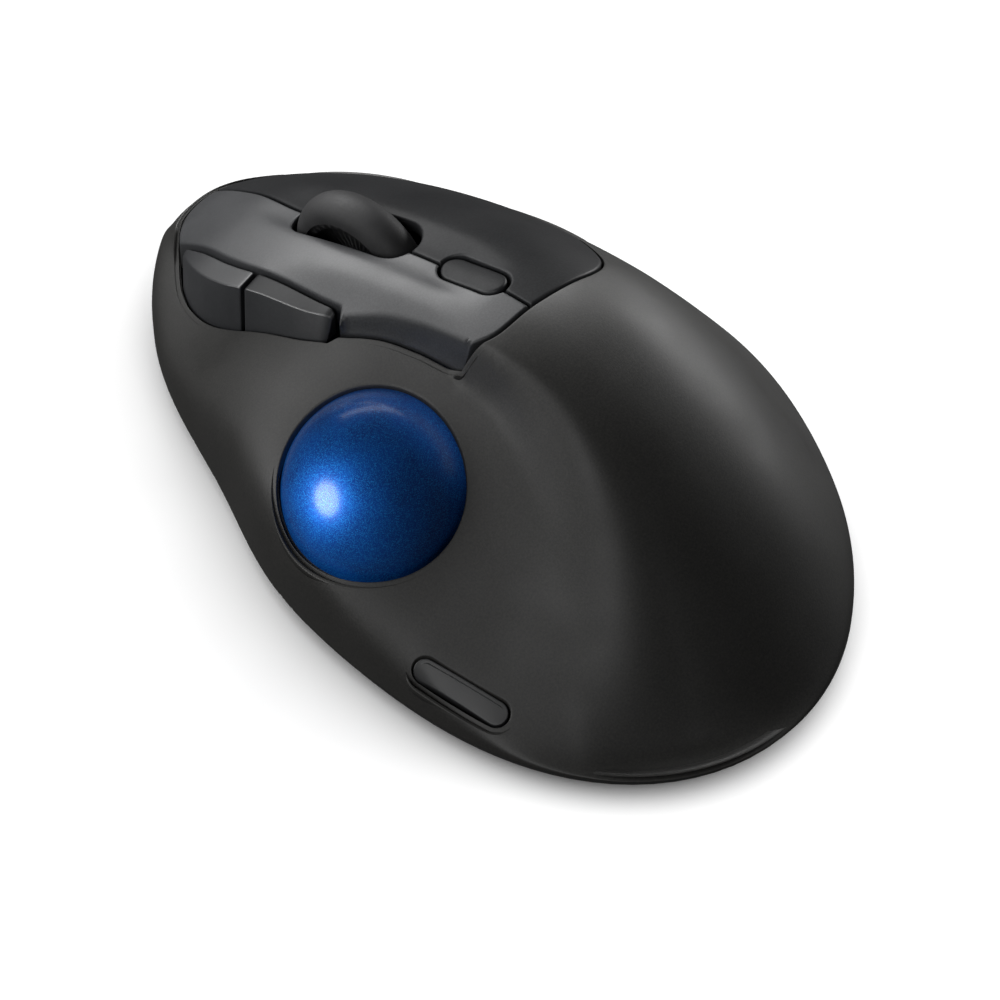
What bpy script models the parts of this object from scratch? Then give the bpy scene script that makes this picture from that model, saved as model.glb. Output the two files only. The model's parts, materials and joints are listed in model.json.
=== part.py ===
"""A wireless thumb trackball mouse. Metres, +Z up, +Y towards the click buttons, -X the thumb side.

The skin is one formula: a height over each point of the plan, drawn in millimetres at the size
DRAWN_HEIGHT and at the outline's own width and length, and stretched to the body sizes below.
"""

import math

import bmesh
import bpy
import numpy as np
from mathutils import Matrix, Vector

MM = 0.001

# Body
BODY_LENGTH = 0.1516
BODY_WIDTH = 0.0966
BODY_HEIGHT = 0.0510
WALL = 0.0024
BELT = 0.0045  # height of the widest line, where the top case meets the base
SEAM = 0.0006  # gap round the button plates
CLEAR = 0.0003  # gap between pieces that touch
TRAVEL = 0.0006  # how far a button goes in

# Ball and socket
BALL_D = 0.034
BALL_FLOOR = 0.0054  # height of the ball's lowest point
BALL_GAP = 0.0007
CUP_GAP = 0.0005
CUP_WALL = 0.0019
BEAD_D = 0.0018
EJECT_D = 0.009
LENS_D = 0.0056

# Wheel
WHEEL_D = 0.0280
TYRE_D = 0.0074
HUB_D = 0.0208
AXLE_D = 0.0020
AXLE_LENGTH = 0.0144
WHEEL_Z = 0.0349
SLOT_WIDTH = 0.0092
SLOT_LENGTH = 0.0262

# Mode button
MODE_LENGTH = 0.0126
MODE_WIDTH = 0.0050

# Base
BASE_LIFT = 0.0008  # underside above the desk, which the feet bridge
FLOOR = 0.0016
FOOT_HEIGHT = 0.0010

# Power
CELL_D = 0.0145
CELL_LENGTH = 0.0505
TRAY_WALL = 0.0012
DOOR_THICK = 0.0013
RECEIVER = (0.0120, 0.0180, 0.0055)

# Boards and switches
BOARD_THICK = 0.0016
MAIN_BOARD_Z = 0.0056
BUTTON_BOARD_Z = 0.0154
CLICK_SWITCH = (0.0058, 0.0128, 0.0065)
TACT_SWITCH = (0.0060, 0.0060, 0.0030)
SCREW_D = 0.0020
POST_D = 0.0060

# Window in the thumb side
WINDOW_LENGTH = 0.0178
WINDOW_WIDTH = 0.0047

DRAWN_HEIGHT = 51.0
LEAST_RISE = 3.6  # drawn: rounds the skin off above the belt
OUTLINE_COS = (58.9, 2.1, -13.6, -1.2, 1.5)
OUTLINE_SIN = (0.0, -2.4, 6.5, -1.6, -2.7)


# ---- the skin ---------------------------------------------------------------------------------


def outline_radius(turn):
    """Distance of the plan outline from its middle: a sum of four cosine and sine waves."""
    waves = [c * np.cos(k * turn) + s * np.sin(k * turn)
             for k, (c, s) in enumerate(zip(OUTLINE_COS, OUTLINE_SIN))]
    return sum(waves)


TURNS = np.linspace(0.0, 2.0 * math.pi, 721)
REACH = np.stack([np.cos(TURNS), np.sin(TURNS)]) * outline_radius(TURNS)
MIDDLE = (REACH.max(axis=1) + REACH.min(axis=1)) / 2.0
SPAN = REACH.max(axis=1) - REACH.min(axis=1)
STRETCH = np.array([BODY_WIDTH / SPAN[0], BODY_LENGTH / SPAN[1], BODY_HEIGHT / DRAWN_HEIGHT])


def spot(x, y, z=0.0):
    """A drawn point in metres."""
    return Vector(((x - MIDDLE[0]) * STRETCH[0], (y - MIDDLE[1]) * STRETCH[1], z * STRETCH[2]))


def ease(t):
    """0 below 0, 1 above 1, and a smooth step between."""
    t = np.clip(t, 0.0, 1.0)
    return t * t * (3.0 - 2.0 * t)


def seam_x(y):
    """The centre seam: straight along the wheel, then bending to the nose."""
    return -0.9 + 0.0035 * np.maximum(0.0, y - 14.0) ** 2


def palm(x, y):
    """The palm side falls to the front, the rear and both sides, and a little more beside the caps."""
    v = y + 11.6
    fall = np.where(v > 0, 31.0 * np.abs(v / 80.0) ** 2, 41.0 * np.abs(v / 60.0) ** 1.75)
    side = np.where(x < 30.0, 34.0 * np.abs(x / 40.0) ** 2.25, 17.8 + 1.335 * (x - 30.0))
    shoulder = 2.2 * ease((-9.0 - x) / 6.0) * (1.0 - ease((y - 20.0) / 18.0)) * ease((y + 12.0) / 14.0)
    return DRAWN_HEIGHT - fall - shoulder - np.where(x > 0, side, 18.0 * (x / 30.0) ** 2)


def thumb(x, y):
    """The sloped thumb side, highest next to the palm and falling off forwards."""
    a, b = x + 32.3, y + 6.1
    fall = np.where(b > 0, 0.003, 0.004) * b * b + 0.008 * np.maximum(0.0, y - 5.0) ** 2
    lift = 0.024 * np.maximum(0.0, y - 38.0) ** 2 * ease((x + 40.0) / 26.0)
    return 28.0 + 0.55 * a + 0.008 * a * a + 0.16 * b - 0.008 * a * b - fall + lift


def ledge_x(y):
    """Where the palm side steps down to the thumb side."""
    rear = 0.009 * np.minimum(y + 12.0, 0.0) ** 2
    front = 0.011 * np.clip(y - 2.0, 0.0, 18.0) ** 2
    return -12.2 - rear - front + 0.45 * np.maximum(0.0, y - 45.0)


def trough(x, y):
    """The shallow dip along the wheel and the mode button."""
    along = ease((y + 6.0) / 12.0) * (1.0 - ease((y - 40.0) / 14.0))
    return 1.4 * along * np.exp(-(((x - seam_x(y)) / 5.2) ** 4))


def skin(x, y, shift=0.0):
    """Drawn height of the skin before it rolls over at the outline, with the step moved by shift."""
    move = shift * ease((y + 8.0) / 7.0) if shift > 0 else shift
    width = 4.5 + 0.45 * np.maximum(0.0, -14.0 - y)
    side = ease((x - ledge_x(y) - move) / width + 0.5)
    low = thumb(x, y)
    belt = BELT / STRETCH[2]
    rise = low + (palm(x, y) - trough(x, y) - low) * side - belt
    return belt + (rise + np.sqrt(rise * rise + LEAST_RISE * LEAST_RISE)) / 2.0


def roll_off(share):
    """1 in the middle and 0 at the outline, where the side wall stands upright."""
    return np.clip(1.0 - share**9, 0.0, None) ** 0.2


def skin_height(x, y, drop=0.0):
    """Height in metres of the skin over a drawn point."""
    share = np.minimum(np.hypot(x, y) / outline_radius(np.arctan2(y, x)), 1.0)
    belt = BELT / STRETCH[2]
    return (belt + (skin(x, y) - drop - belt) * roll_off(share)) * STRETCH[2]


def under_skin(x, y, radius, drop):
    """Height in metres of a flat end of a post that stays drop under the skin all round."""
    turns = [math.radians(45.0 * k) for k in range(8)]
    reach = radius / MM
    return min(skin_height(x + reach * math.cos(a), y + reach * math.sin(a)) for a in turns) - drop


def skin_normal(x, y, step=0.2):
    """Outward direction of the skin over a drawn point."""
    rise_x = (skin_height(x + step, y) - skin_height(x - step, y)) / (2 * step * STRETCH[0])
    rise_y = (skin_height(x, y + step) - skin_height(x, y - step)) / (2 * step * STRETCH[1])
    return Vector((-rise_x, -rise_y, 1.0)).normalized()


def plan_outline(inset, spokes=72):
    """The plan outline in metres, moved in by inset."""
    turn = np.linspace(0.0, 2.0 * math.pi, spokes, endpoint=False)
    radius = outline_radius(turn) - inset / MM
    return [spot(r * math.cos(t), r * math.sin(t)).to_2d() for r, t in zip(radius, turn)]


def smooth(points, steps=5):
    """A Catmull-Rom curve through the points, ends included."""
    p = [Vector(q) for q in points]
    p = [2 * p[0] - p[1]] + p + [2 * p[-1] - p[-2]]
    out = []
    for a, b, c, d in zip(p, p[1:], p[2:], p[3:]):
        for k in range(steps):
            t = k / steps
            out.append(0.5 * (2 * b + (c - a) * t + (2 * a - 5 * b + 4 * c - d) * t**2
                              + (3 * b - a - 3 * c + d) * t**3))
    return out + [p[-2]]


def moved_in(points, distance):
    """A closed counter-clockwise outline with each side moved in by distance."""
    out = []
    for a, b, c in zip(points[-1:] + points[:-1], points, points[1:] + points[:1]):
        u, v = (b - a).normalized(), (c - b).normalized()
        n = Vector((-u.y - v.y, u.x + v.x))
        n = n / max(0.35, (1 + u.dot(v)))
        out.append(b + n * distance)
    return out


# ---- making objects ---------------------------------------------------------------------------

for old in list(bpy.data.objects):
    bpy.data.objects.remove(old)
PIECES = bpy.data.collections.new("trackball_mouse")
CUTTERS = bpy.data.collections.new("cutters")
for collection in (PIECES, CUTTERS):
    bpy.context.scene.collection.children.link(collection)

FINISHES = {
    "case_plastic": ((0.022, 0.022, 0.023), 0.50, 0.0),
    "button_plastic": ((0.030, 0.030, 0.032), 0.48, 0.0),
    "cap_plastic": ((0.020, 0.020, 0.022), 0.35, 0.0),
    "ball_resin": ((0.005, 0.09, 0.42), 0.12, 0.6),
    "tyre_rubber": ((0.025, 0.025, 0.027), 0.70, 0.0),
    "foot_rubber": ((0.015, 0.015, 0.015), 0.85, 0.0),
    "inner_plastic": ((0.10, 0.10, 0.11), 0.60, 0.0),
    "bearing_ceramic": ((0.75, 0.75, 0.72), 0.20, 0.0),
    "board": ((0.01, 0.12, 0.05), 0.50, 0.0),
    "switch_plastic": ((0.03, 0.03, 0.035), 0.45, 0.0),
    "steel": ((0.60, 0.60, 0.60), 0.30, 1.0),
    "clear_plastic": ((0.60, 0.62, 0.65), 0.10, 0.0),
    "window_plastic": ((0.035, 0.036, 0.040), 0.20, 0.0),
    "cell_jacket": ((0.25, 0.27, 0.30), 0.35, 0.0),
}


def finish_of(name):
    """The named material, made once."""
    found = bpy.data.materials.get(name)
    if found:
        return found
    colour, roughness, metallic = FINISHES[name]
    made = bpy.data.materials.new(name)
    made.use_nodes = True
    shader = made.node_tree.nodes["Principled BSDF"]
    shader.inputs["Base Color"].default_value = (*colour, 1.0)
    shader.inputs["Roughness"].default_value = roughness
    shader.inputs["Metallic"].default_value = metallic
    return made


def keep(name, shape, finish=None, pivot=None):
    """Makes an object of a bmesh: a piece when it has a finish, else a cutter."""
    bmesh.ops.recalc_face_normals(shape, faces=shape.faces)
    if pivot is not None:
        bmesh.ops.translate(shape, verts=shape.verts, vec=-Vector(pivot))
    mesh = bpy.data.meshes.new(name)
    shape.to_mesh(mesh)
    shape.free()
    made = bpy.data.objects.new(name, mesh)
    if pivot is not None:
        made.location = pivot
    if finish:
        PIECES.objects.link(made)
        mesh.materials.append(finish_of(finish))
        mesh.shade_smooth()
        mesh.set_sharp_from_angle(angle=math.radians(35))
    else:
        CUTTERS.objects.link(made)
        made.hide_render = True
        made.display_type = "WIRE"
    return made


def block(name, size, centre, finish=None, pivot=None, turn=None):
    """A box, turned by a matrix about its centre where one is given."""
    shape = bmesh.new()
    bmesh.ops.create_cube(shape, size=1.0)
    bmesh.ops.scale(shape, vec=size, verts=shape.verts)
    place(shape, centre, turn)
    return keep(name, shape, finish, pivot)


def rod(name, diameter, length, centre, axis="Z", finish=None, pivot=None, sides=20, turn=None):
    """A cylinder along an axis, or along a turned Z."""
    shape = bmesh.new()
    bmesh.ops.create_cone(shape, cap_ends=True, segments=sides, radius1=diameter / 2,
                          radius2=diameter / 2, depth=length)
    turns = {"X": Matrix.Rotation(math.pi / 2, 3, "Y"), "Y": Matrix.Rotation(math.pi / 2, 3, "X"),
             "Z": Matrix.Identity(3)}
    place(shape, centre, turn if turn is not None else turns[axis])
    return keep(name, shape, finish, pivot)


def globe(name, diameter, centre, finish=None, pivot=None, sides=24):
    """A sphere."""
    shape = bmesh.new()
    bmesh.ops.create_uvsphere(shape, u_segments=sides, v_segments=sides // 2, radius=diameter / 2)
    place(shape, centre)
    return keep(name, shape, finish, pivot)


def place(shape, centre, turn=None):
    """Turns a bmesh about its origin and moves it to centre."""
    if turn is not None:
        bmesh.ops.rotate(shape, verts=shape.verts, cent=(0, 0, 0), matrix=turn)
    bmesh.ops.translate(shape, verts=shape.verts, vec=Vector(centre))


def prism(name, outline, low, high, finish=None, pivot=None, turn=None, centre=(0, 0, 0)):
    """A flat outline raised from low to high along Z, or along a turned Z."""
    shape = bmesh.new()
    bottom = [shape.verts.new((p[0], p[1], low)) for p in outline]
    face = shape.faces.new(bottom)
    raised = bmesh.ops.extrude_face_region(shape, geom=[face])["geom"]
    top = [v for v in raised if isinstance(v, bmesh.types.BMVert)]
    bmesh.ops.translate(shape, verts=top, vec=(0, 0, high - low))
    bmesh.ops.triangulate(shape, faces=[f for f in shape.faces if len(f.verts) > 4])
    place(shape, centre, turn)
    return keep(name, shape, finish, pivot)


def loft(name, sections, finish=None, pivot=None):
    """A closed solid through rings of equal point count, with flat ends."""
    shape = bmesh.new()
    rings = [[shape.verts.new(p) for p in ring] for ring in sections]
    for one, two in zip(rings, rings[1:]):
        for k in range(len(one)):
            n = (k + 1) % len(one)
            shape.faces.new((one[k], one[n], two[n], two[k]))
    shape.faces.new(rings[0])
    shape.faces.new(rings[-1])
    bmesh.ops.triangulate(shape, faces=shape.faces)
    return keep(name, shape, finish, pivot)


def turned(name, profile, steps, finish=None, centre=(0, 0, 0), turn=None):
    """A profile of (radius, height) points, outer side top to bottom, spun about Z by a Screw."""
    mesh = bpy.data.meshes.new(name)
    points = [(r, 0.0, z) for r, z in profile]
    mesh.from_pydata(points, [(k, k + 1) for k in range(len(points) - 1)], [])
    made = bpy.data.objects.new(name, mesh)
    made.location = centre
    if turn is not None:
        made.rotation_euler = turn.to_euler()
    spin = made.modifiers.new("spin", "SCREW")
    spin.steps = spin.render_steps = steps
    spin.use_merge_vertices = True
    spin.merge_threshold = 0.00001
    spin.use_smooth_shade = True
    if finish:
        PIECES.objects.link(made)
        mesh.materials.append(finish_of(finish))
    else:
        CUTTERS.objects.link(made)
        made.hide_render = True
        made.display_type = "WIRE"
    return made


def boolean(target, other, operation):
    """Adds a Boolean modifier to the target."""
    made = target.modifiers.new(f"{operation.lower()}_{other.name}", "BOOLEAN")
    made.operation = operation
    made.object = other
    made.solver = "EXACT"
    return target


def cut(target, *cutters):
    """Takes the cutters out of the target."""
    for other in cutters:
        boolean(target, other, "DIFFERENCE")
    return target


def join(target, *others):
    """Adds the other shapes to the target."""
    for other in others:
        boolean(target, other, "UNION")
    return target


def capsule(length, width, steps=6):
    """Outline of a slot with round ends along Y."""
    half, radius = (length - width) / 2, width / 2
    ends = []
    for middle, start in ((half, 0.0), (-half, math.pi)):
        for k in range(steps + 1):
            turn = start + math.pi * k / steps
            ends.append(Vector((radius * math.cos(turn), middle + radius * math.sin(turn))))
    return ends


def rectangle(width, length, corner):
    """Outline of a rectangle with cut corners."""
    x, y = width / 2, length / 2
    return [Vector(p) for p in ((x, corner - y), (x, y - corner), (x - corner, y), (corner - x, y),
                                (-x, y - corner), (-x, corner - y), (corner - x, -y), (x - corner, -y))]


def facing(direction, up=(0.0, 0.0, 1.0)):
    """A turn that brings Z to the direction and keeps Y near up."""
    z = Vector(direction).normalized()
    x = Vector(up).cross(z).normalized()
    y = z.cross(x)
    return Matrix((x, y, z)).transposed()


# ---- shell and button plates ------------------------------------------------------------------

RINGS_OUT = (0.10, 0.19, 0.27, 0.35, 0.43, 0.51, 0.59, 0.67, 0.75, 0.82, 0.88, 0.925, 0.955, 0.98, 0.993)
RINGS_IN = (0.14, 0.27, 0.39, 0.51, 0.62, 0.72, 0.82, 0.90, 0.96, 0.99)


def dome(name, rings, spokes, shift, inset=0.0, drop=0.0, edge=BELT, foot=BELT, pivot=None):
    """A closed solid under the skin, moved in by inset and down by drop, from its edge to its foot."""
    turn = np.linspace(0.0, 2.0 * math.pi, spokes, endpoint=False)
    reach = outline_radius(turn) - inset / MM
    level = edge / STRETCH[2]
    sections = []
    for share in rings:
        x, y = share * reach * np.cos(turn), share * reach * np.sin(turn)
        rise = np.maximum(skin(x, y, shift) - drop / MM - level, 0.1) * roll_off(share)
        sections.append([spot(*p) for p in zip(x, y, level + rise)])
    x, y = reach * np.cos(turn), reach * np.sin(turn)
    for height in (edge, foot) if foot < edge else (edge,):
        sections.append([spot(a, b, height / STRETCH[2]) for a, b in zip(x, y)])
    shape = bmesh.new()
    loops = [[shape.verts.new(p) for p in ring] for ring in sections]
    crown = shape.verts.new(spot(0.0, 0.0, float(skin(0.0, 0.0, shift)) - drop / MM))
    sole = shape.verts.new(spot(0.0, 0.0, foot / STRETCH[2]))
    for k in range(spokes):
        n = (k + 1) % spokes
        shape.faces.new((crown, loops[0][k], loops[0][n]))
        shape.faces.new((sole, loops[-1][n], loops[-1][k]))
        for one, two in zip(loops, loops[1:]):
            shape.faces.new((one[k], two[k], two[n], one[n]))
    return keep(name, shape, pivot=pivot)


def solid_skin(name, finish, shift=0.0, pivot=None):
    """The closed solid under the skin, as a piece still to be cut."""
    made = dome(name, RINGS_OUT, 120, shift, pivot=pivot)
    CUTTERS.objects.unlink(made)
    PIECES.objects.link(made)
    made.hide_render = False
    made.display_type = "TEXTURED"
    made.data.materials.append(finish_of(finish))
    made.data.shade_smooth()
    return made


def hollow(name, shift=0.0):
    """What to take out of the solid skin, to leave a wall."""
    return dome(name, RINGS_IN, 60, shift, WALL, WALL, BELT - 0.6 * WALL, -BELT)


CASE_SHIFT = 2.3  # drawn: by the plates the case keeps the low side of the step
PLATE_SHIFT = -4.8  # and the plates the high side
CASE_HOLLOW = hollow("case_hollow", CASE_SHIFT)
PLATE_HOLLOW = hollow("plate_hollow", PLATE_SHIFT)

REAR_SEAM = ((-12.9, -7.2), (-8.2, -10.6), (-0.9, -11.7), (7.2, -12.7), (13.4, -13.0), (17.6, -11.6),
             (20.6, -8.4), (24.3, -1.5))
RIGHT_SEAM = ((27.2, 8.0), (29.2, 20.0), (29.4, 32.0), (27.6, 44.0), (24.6, 55.0), (20.6, 64.0))
NOSE_SEAM = ((16.6, 68.4), (11.6, 70.0), (6.0, 69.6), (0.0, 67.8), (-5.0, 64.6), (-8.2, 61.6))
CAP_OUTER = ((-9.9, 59.9), (-12.2, 57.2), (-14.6, 53.0), (-16.6, 47.0), (-17.6, 40.0), (-18.2, 32.0),
             (-18.4, 24.0), (-17.6, 17.8))
CAP_EDGE = ((-15.3, 17.8), (-16.5, 24.0), (-16.9, 30.0), (-16.9, 38.0), (-16.6, 43.0), (-15.3, 48.5),
            (-13.2, 53.5), (-9.9, 59.0))
CAP_INNER = ((-14.0, 18.2), (-13.6, 27.4), (-13.0, 37.2), (-11.9, 45.2), (-9.9, 53.0), (-8.6, 59.6))
WALL_SEAM = ((-16.3, 16.6), (-14.3, 8.7), (-13.3, 0.9))


def in_metres(points):
    return [spot(p[0], p[1]).to_2d() for p in points]


def centre_seam(first, last, steps=14):
    """Points along the centre seam between two drawn heights of Y."""
    ys = np.linspace(first, last, steps)
    return [Vector((float(seam_x(y)), float(y))) for y in ys]


REAR_CURVE = smooth(REAR_SEAM)
MEET_REAR = min(range(len(REAR_CURVE)), key=lambda k: abs(REAR_CURVE[k].x - seam_x(-11.7)))
NOSE_CURVE = smooth(RIGHT_SEAM[-1:] + NOSE_SEAM)
MEET_NOSE = min(range(len(NOSE_CURVE)), key=lambda k: abs(NOSE_CURVE[k].x - seam_x(70.0)))
MIDLINE = centre_seam(-11.0, 69.0)

WHOLE_OPENING = in_metres(REAR_CURVE + smooth(RIGHT_SEAM)[:-1] + NOSE_CURVE
                          + smooth(CAP_OUTER) + smooth(WALL_SEAM))
LEFT_OUTLINE = in_metres(REAR_CURVE[:MEET_REAR + 1] + MIDLINE + NOSE_CURVE[MEET_NOSE:]
                         + smooth(CAP_INNER)[::-1] + smooth(WALL_SEAM))
RIGHT_OUTLINE = in_metres(REAR_CURVE[MEET_REAR:] + smooth(RIGHT_SEAM)[:-1]
                          + NOSE_CURVE[:MEET_NOSE + 1] + MIDLINE[::-1])

HIGH = 2 * BODY_HEIGHT
WHEEL_SPOT = spot(0.2, 25.4).to_2d()
SLOT_SPOT = spot(0.2, 27.0).to_2d()
WHEEL_CENTRE = Vector((WHEEL_SPOT.x, WHEEL_SPOT.y, WHEEL_Z * BODY_HEIGHT / (DRAWN_HEIGHT * MM)))
MODE_SPOT = spot(-0.4, 0.8).to_2d()
HINGE_Y = spot(0, -9.0).y
HINGE_Z = skin_height(0.0, -9.0) - WALL - 0.002

wheel_slot = prism("wheel_slot", capsule(SLOT_LENGTH, SLOT_WIDTH), 0, HIGH,
                   centre=SLOT_SPOT.to_3d() + Vector((0, 0, BELT)))
mode_hole = prism("mode_hole", capsule(MODE_LENGTH + 2 * SEAM, MODE_WIDTH + 2 * SEAM), 0, HIGH,
                  centre=MODE_SPOT.to_3d() + Vector((0, 0, BELT)))


def button_plate(name, outline, post):
    """A piece of the skin over its plan outline, with a post down to its switch."""
    made = solid_skin(name, "button_plastic", PLATE_SHIFT, Vector((post["at"].x, HINGE_Y, HINGE_Z)))
    area = prism(f"{name}_area", moved_in(outline, SEAM / 2), 2 * BELT, HIGH)
    boolean(made, area, "INTERSECT")
    cut(made, PLATE_HOLLOW)
    top = under_skin(*post["drawn"], 0.002, WALL / 2)
    centre = Vector((post["at"].x, post["at"].y, (top + post["foot"]) / 2))
    join(made, rod(f"{name}_post", 0.004, top - post["foot"], centre, sides=12))
    return cut(made, wheel_slot, mode_hole)


SWITCH_TOP = BUTTON_BOARD_Z + BOARD_THICK + CLEAR + CLICK_SWITCH[2]
PLUNGER = 0.0008
POST_FOOT = SWITCH_TOP + PLUNGER + TRAVEL + CLEAR
LEFT_POST = {"drawn": (-4.7, 44.5), "at": spot(-4.7, 44.5).to_2d(), "foot": POST_FOOT}
RIGHT_POST = {"drawn": (10.9, 44.5), "at": spot(10.9, 44.5).to_2d(), "foot": POST_FOOT}


def plate_wall():
    """The left plate's side wall above the thumb side, between its rear corner and the back cap."""
    gap, thick = SEAM / MM / 2, 1.5
    seam = smooth(WALL_SEAM + REAR_SEAM[:1], 4)
    sections = []
    for point in seam:
        x, y = point.x + gap, point.y
        top, low = float(palm(x, y)) - 0.7, float(thumb(x, y)) - 0.6
        corners = ((x, top), (x, low), (x + thick, low), (x + thick, top))
        sections.append([spot(a, y, z) for a, z in corners])
    return loft("plate_wall", sections)


left_button = button_plate("left_button", LEFT_OUTLINE, LEFT_POST)
right_button = button_plate("right_button", RIGHT_OUTLINE, RIGHT_POST)
join(left_button, plate_wall())

# ---- ball, socket and sensor ------------------------------------------------------------------

BALL_RADIUS = BALL_D / 2
BALL_SPOT = spot(-27.4, -2.8).to_2d()
BALL_CENTRE = Vector((BALL_SPOT.x, BALL_SPOT.y, BALL_FLOOR + BALL_RADIUS))
TILT = facing((-0.55, -0.10, 0.83), up=(0.0, 1.0, 0.0))
SENSOR_WAY = Vector((0.80, -0.42, -0.43)).normalized()
CUP_IN = BALL_RADIUS + CUP_GAP
CUP_OUT = CUP_IN + CUP_WALL
RIM_DROP = 0.001  # how far the cup's edge lies under the ball's middle


def arc(radius, start, end, steps):
    """(radius, height) points on a circle about the origin, from an angle above the level to another."""
    angles = [math.radians(start + (end - start) * k / steps) for k in range(steps + 1)]
    return [(radius * math.cos(a), radius * math.sin(a)) for a in angles]


def make_socket():
    """A cup under the ball's lower half, tilted with the thumb side."""
    edge = math.degrees(math.asin(RIM_DROP / CUP_OUT))
    outside = arc(CUP_OUT, -edge, -90.0, 8)
    inside = arc(CUP_IN, -90.0, -edge * CUP_OUT / CUP_IN, 8)
    outside[-1] = (0.0, -CUP_OUT)
    inside[0] = (0.0, -CUP_IN)
    ring = outside + inside + outside[:1]
    made = turned("ball_socket", ring, 32, "inner_plastic", BALL_CENTRE, TILT)
    below = Vector((BALL_CENTRE.x, BALL_CENTRE.y, 0))
    cut(made, rod("eject_bore", EJECT_D, 2 * BALL_FLOOR + CUP_OUT, below))
    cut(made, rod("lens_bore", LENS_D + 2 * CLEAR, 0.012, BALL_CENTRE + SENSOR_WAY * CUP_OUT,
                  turn=facing(SENSOR_WAY)))
    for k, way in enumerate(bead_ways()):
        seat = BALL_CENTRE + way * (BALL_RADIUS + CLEAR + BEAD_D / 2)
        cut(made, globe(f"bead_seat_{k + 1}", BEAD_D + 2 * CLEAR, seat, sides=12))
        globe(f"bearing_bead_{k + 1}", BEAD_D, seat, "bearing_ceramic", sides=12)
    return made


def bead_ways():
    """Three directions from the ball's middle, evenly round its tilt and 35 degrees down."""
    down = math.radians(-35.0)
    for k in range(3):
        turn = math.radians(80.0 + 120.0 * k)
        local = Vector((math.cos(down) * math.cos(turn), math.cos(down) * math.sin(turn), math.sin(down)))
        yield TILT @ local


def make_sensor():
    """Lens, chip and board, one behind the other on a line from the ball's middle."""
    turn = facing(SENSOR_WAY)
    lens_near, lens_far = CUP_IN + 2 * CLEAR, CUP_OUT + 0.0006
    rod("sensor_lens", LENS_D, lens_far - lens_near, BALL_CENTRE + SENSOR_WAY * (lens_near + lens_far) / 2,
        finish="clear_plastic", turn=turn)
    chip = 0.0022
    chip_near = lens_far + CLEAR
    block("optical_sensor", (0.009, 0.0075, chip), BALL_CENTRE + SENSOR_WAY * (chip_near + chip / 2),
          "switch_plastic", turn=turn)
    board_near = chip_near + chip + CLEAR
    block("sensor_board", (0.0125, 0.011, 0.0012), BALL_CENTRE + SENSOR_WAY * (board_near + 0.0006),
          "board", turn=turn)


globe("trackball", BALL_D, BALL_CENTRE, "ball_resin", pivot=BALL_CENTRE, sides=32)
make_socket()
make_sensor()

# ---- top case and window ----------------------------------------------------------------------

CASE_POSTS = ((-22.5, 37.0), (33.5, 26.0), (30.0, -34.0), (-24.0, -49.0))
WINDOW_DRAWN = (-44.5, -33.5)
WINDOW_MIDDLE = spot(*WINDOW_DRAWN).to_2d().to_3d() + Vector((0, 0, skin_height(*WINDOW_DRAWN)))
WINDOW_OUT = skin_normal(*WINDOW_DRAWN)
WINDOW_TURN = facing(WINDOW_OUT, up=(-0.20, 0.95, 0.24))


def make_case():
    """The skin with its openings, and four posts for the case screws."""
    made = solid_skin("top_case", "case_plastic", CASE_SHIFT)
    cut(made, prism("button_opening", WHOLE_OPENING, 0, HIGH), CASE_HOLLOW)
    relief = CUP_OUT + CLEAR
    edge = math.degrees(math.asin((RIM_DROP - CLEAR) / relief))
    hole = BALL_RADIUS + BALL_GAP
    profile = arc(hole, 90.0, -edge, 12) + arc(relief, -edge, -90.0, 10)
    profile[0], profile[-1] = (0.0, hole), (0.0, -relief)
    cut(made, turned("ball_opening", profile, 48, None, BALL_CENTRE, TILT))
    for k, (x, y) in enumerate(CASE_POSTS):
        centre = spot(x, y)
        low, high = BASE_LIFT + FLOOR + CLEAR, under_skin(x, y, POST_D / 2, WALL / 2)
        post = rod(f"case_post_{k + 1}", POST_D, high - low,
                   (centre.x, centre.y, (high + low) / 2), sides=14)
        bore = rod(f"case_bore_{k + 1}", SCREW_D + 2 * CLEAR, 0.022, (centre.x, centre.y, low), sides=10)
        join(made, post)
        cut(made, bore)
    window = prism("window_area", capsule(WINDOW_LENGTH, WINDOW_WIDTH), -0.006, 0.006,
                   turn=WINDOW_TURN, centre=WINDOW_MIDDLE)
    return cut(made, window)


def make_window():
    """The window is the skin's own wall over a capsule, with a light guide and its board behind."""
    made = solid_skin("indicator_window", "window_plastic")
    inset = 2 * CLEAR
    area = prism("window_core", capsule(WINDOW_LENGTH - inset, WINDOW_WIDTH - inset), -0.005, 0.005,
                 turn=WINDOW_TURN, centre=WINDOW_MIDDLE)
    boolean(made, area, "INTERSECT")
    cut(made, CASE_HOLLOW)
    guide, board = 0.0022, 0.0012
    depth = WALL * 1.35 + CLEAR
    block("light_guide", (0.0034, 0.0120, guide), WINDOW_MIDDLE - WINDOW_OUT * (depth + guide / 2),
          "clear_plastic", turn=WINDOW_TURN)
    depth += guide + CLEAR
    block("indicator_board", (0.0050, 0.0140, board), WINDOW_MIDDLE - WINDOW_OUT * (depth + board / 2),
          "board", turn=WINDOW_TURN)


make_case()
make_window()

# ---- forward, back and mode buttons -----------------------------------------------------------

CAP_SPLIT = 37.6  # drawn Y of the gap between the two caps
CAP_GAP = 0.9  # drawn
CAP_ROOM = 0.0005  # from the seam line to the switch behind a cap


def along(points, y):
    """X of a drawn curve at Y."""
    curve = sorted((p.y, p.x) for p in smooth(points, 8))
    return float(np.interp(y, [c[0] for c in curve], [c[1] for c in curve]))


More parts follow.
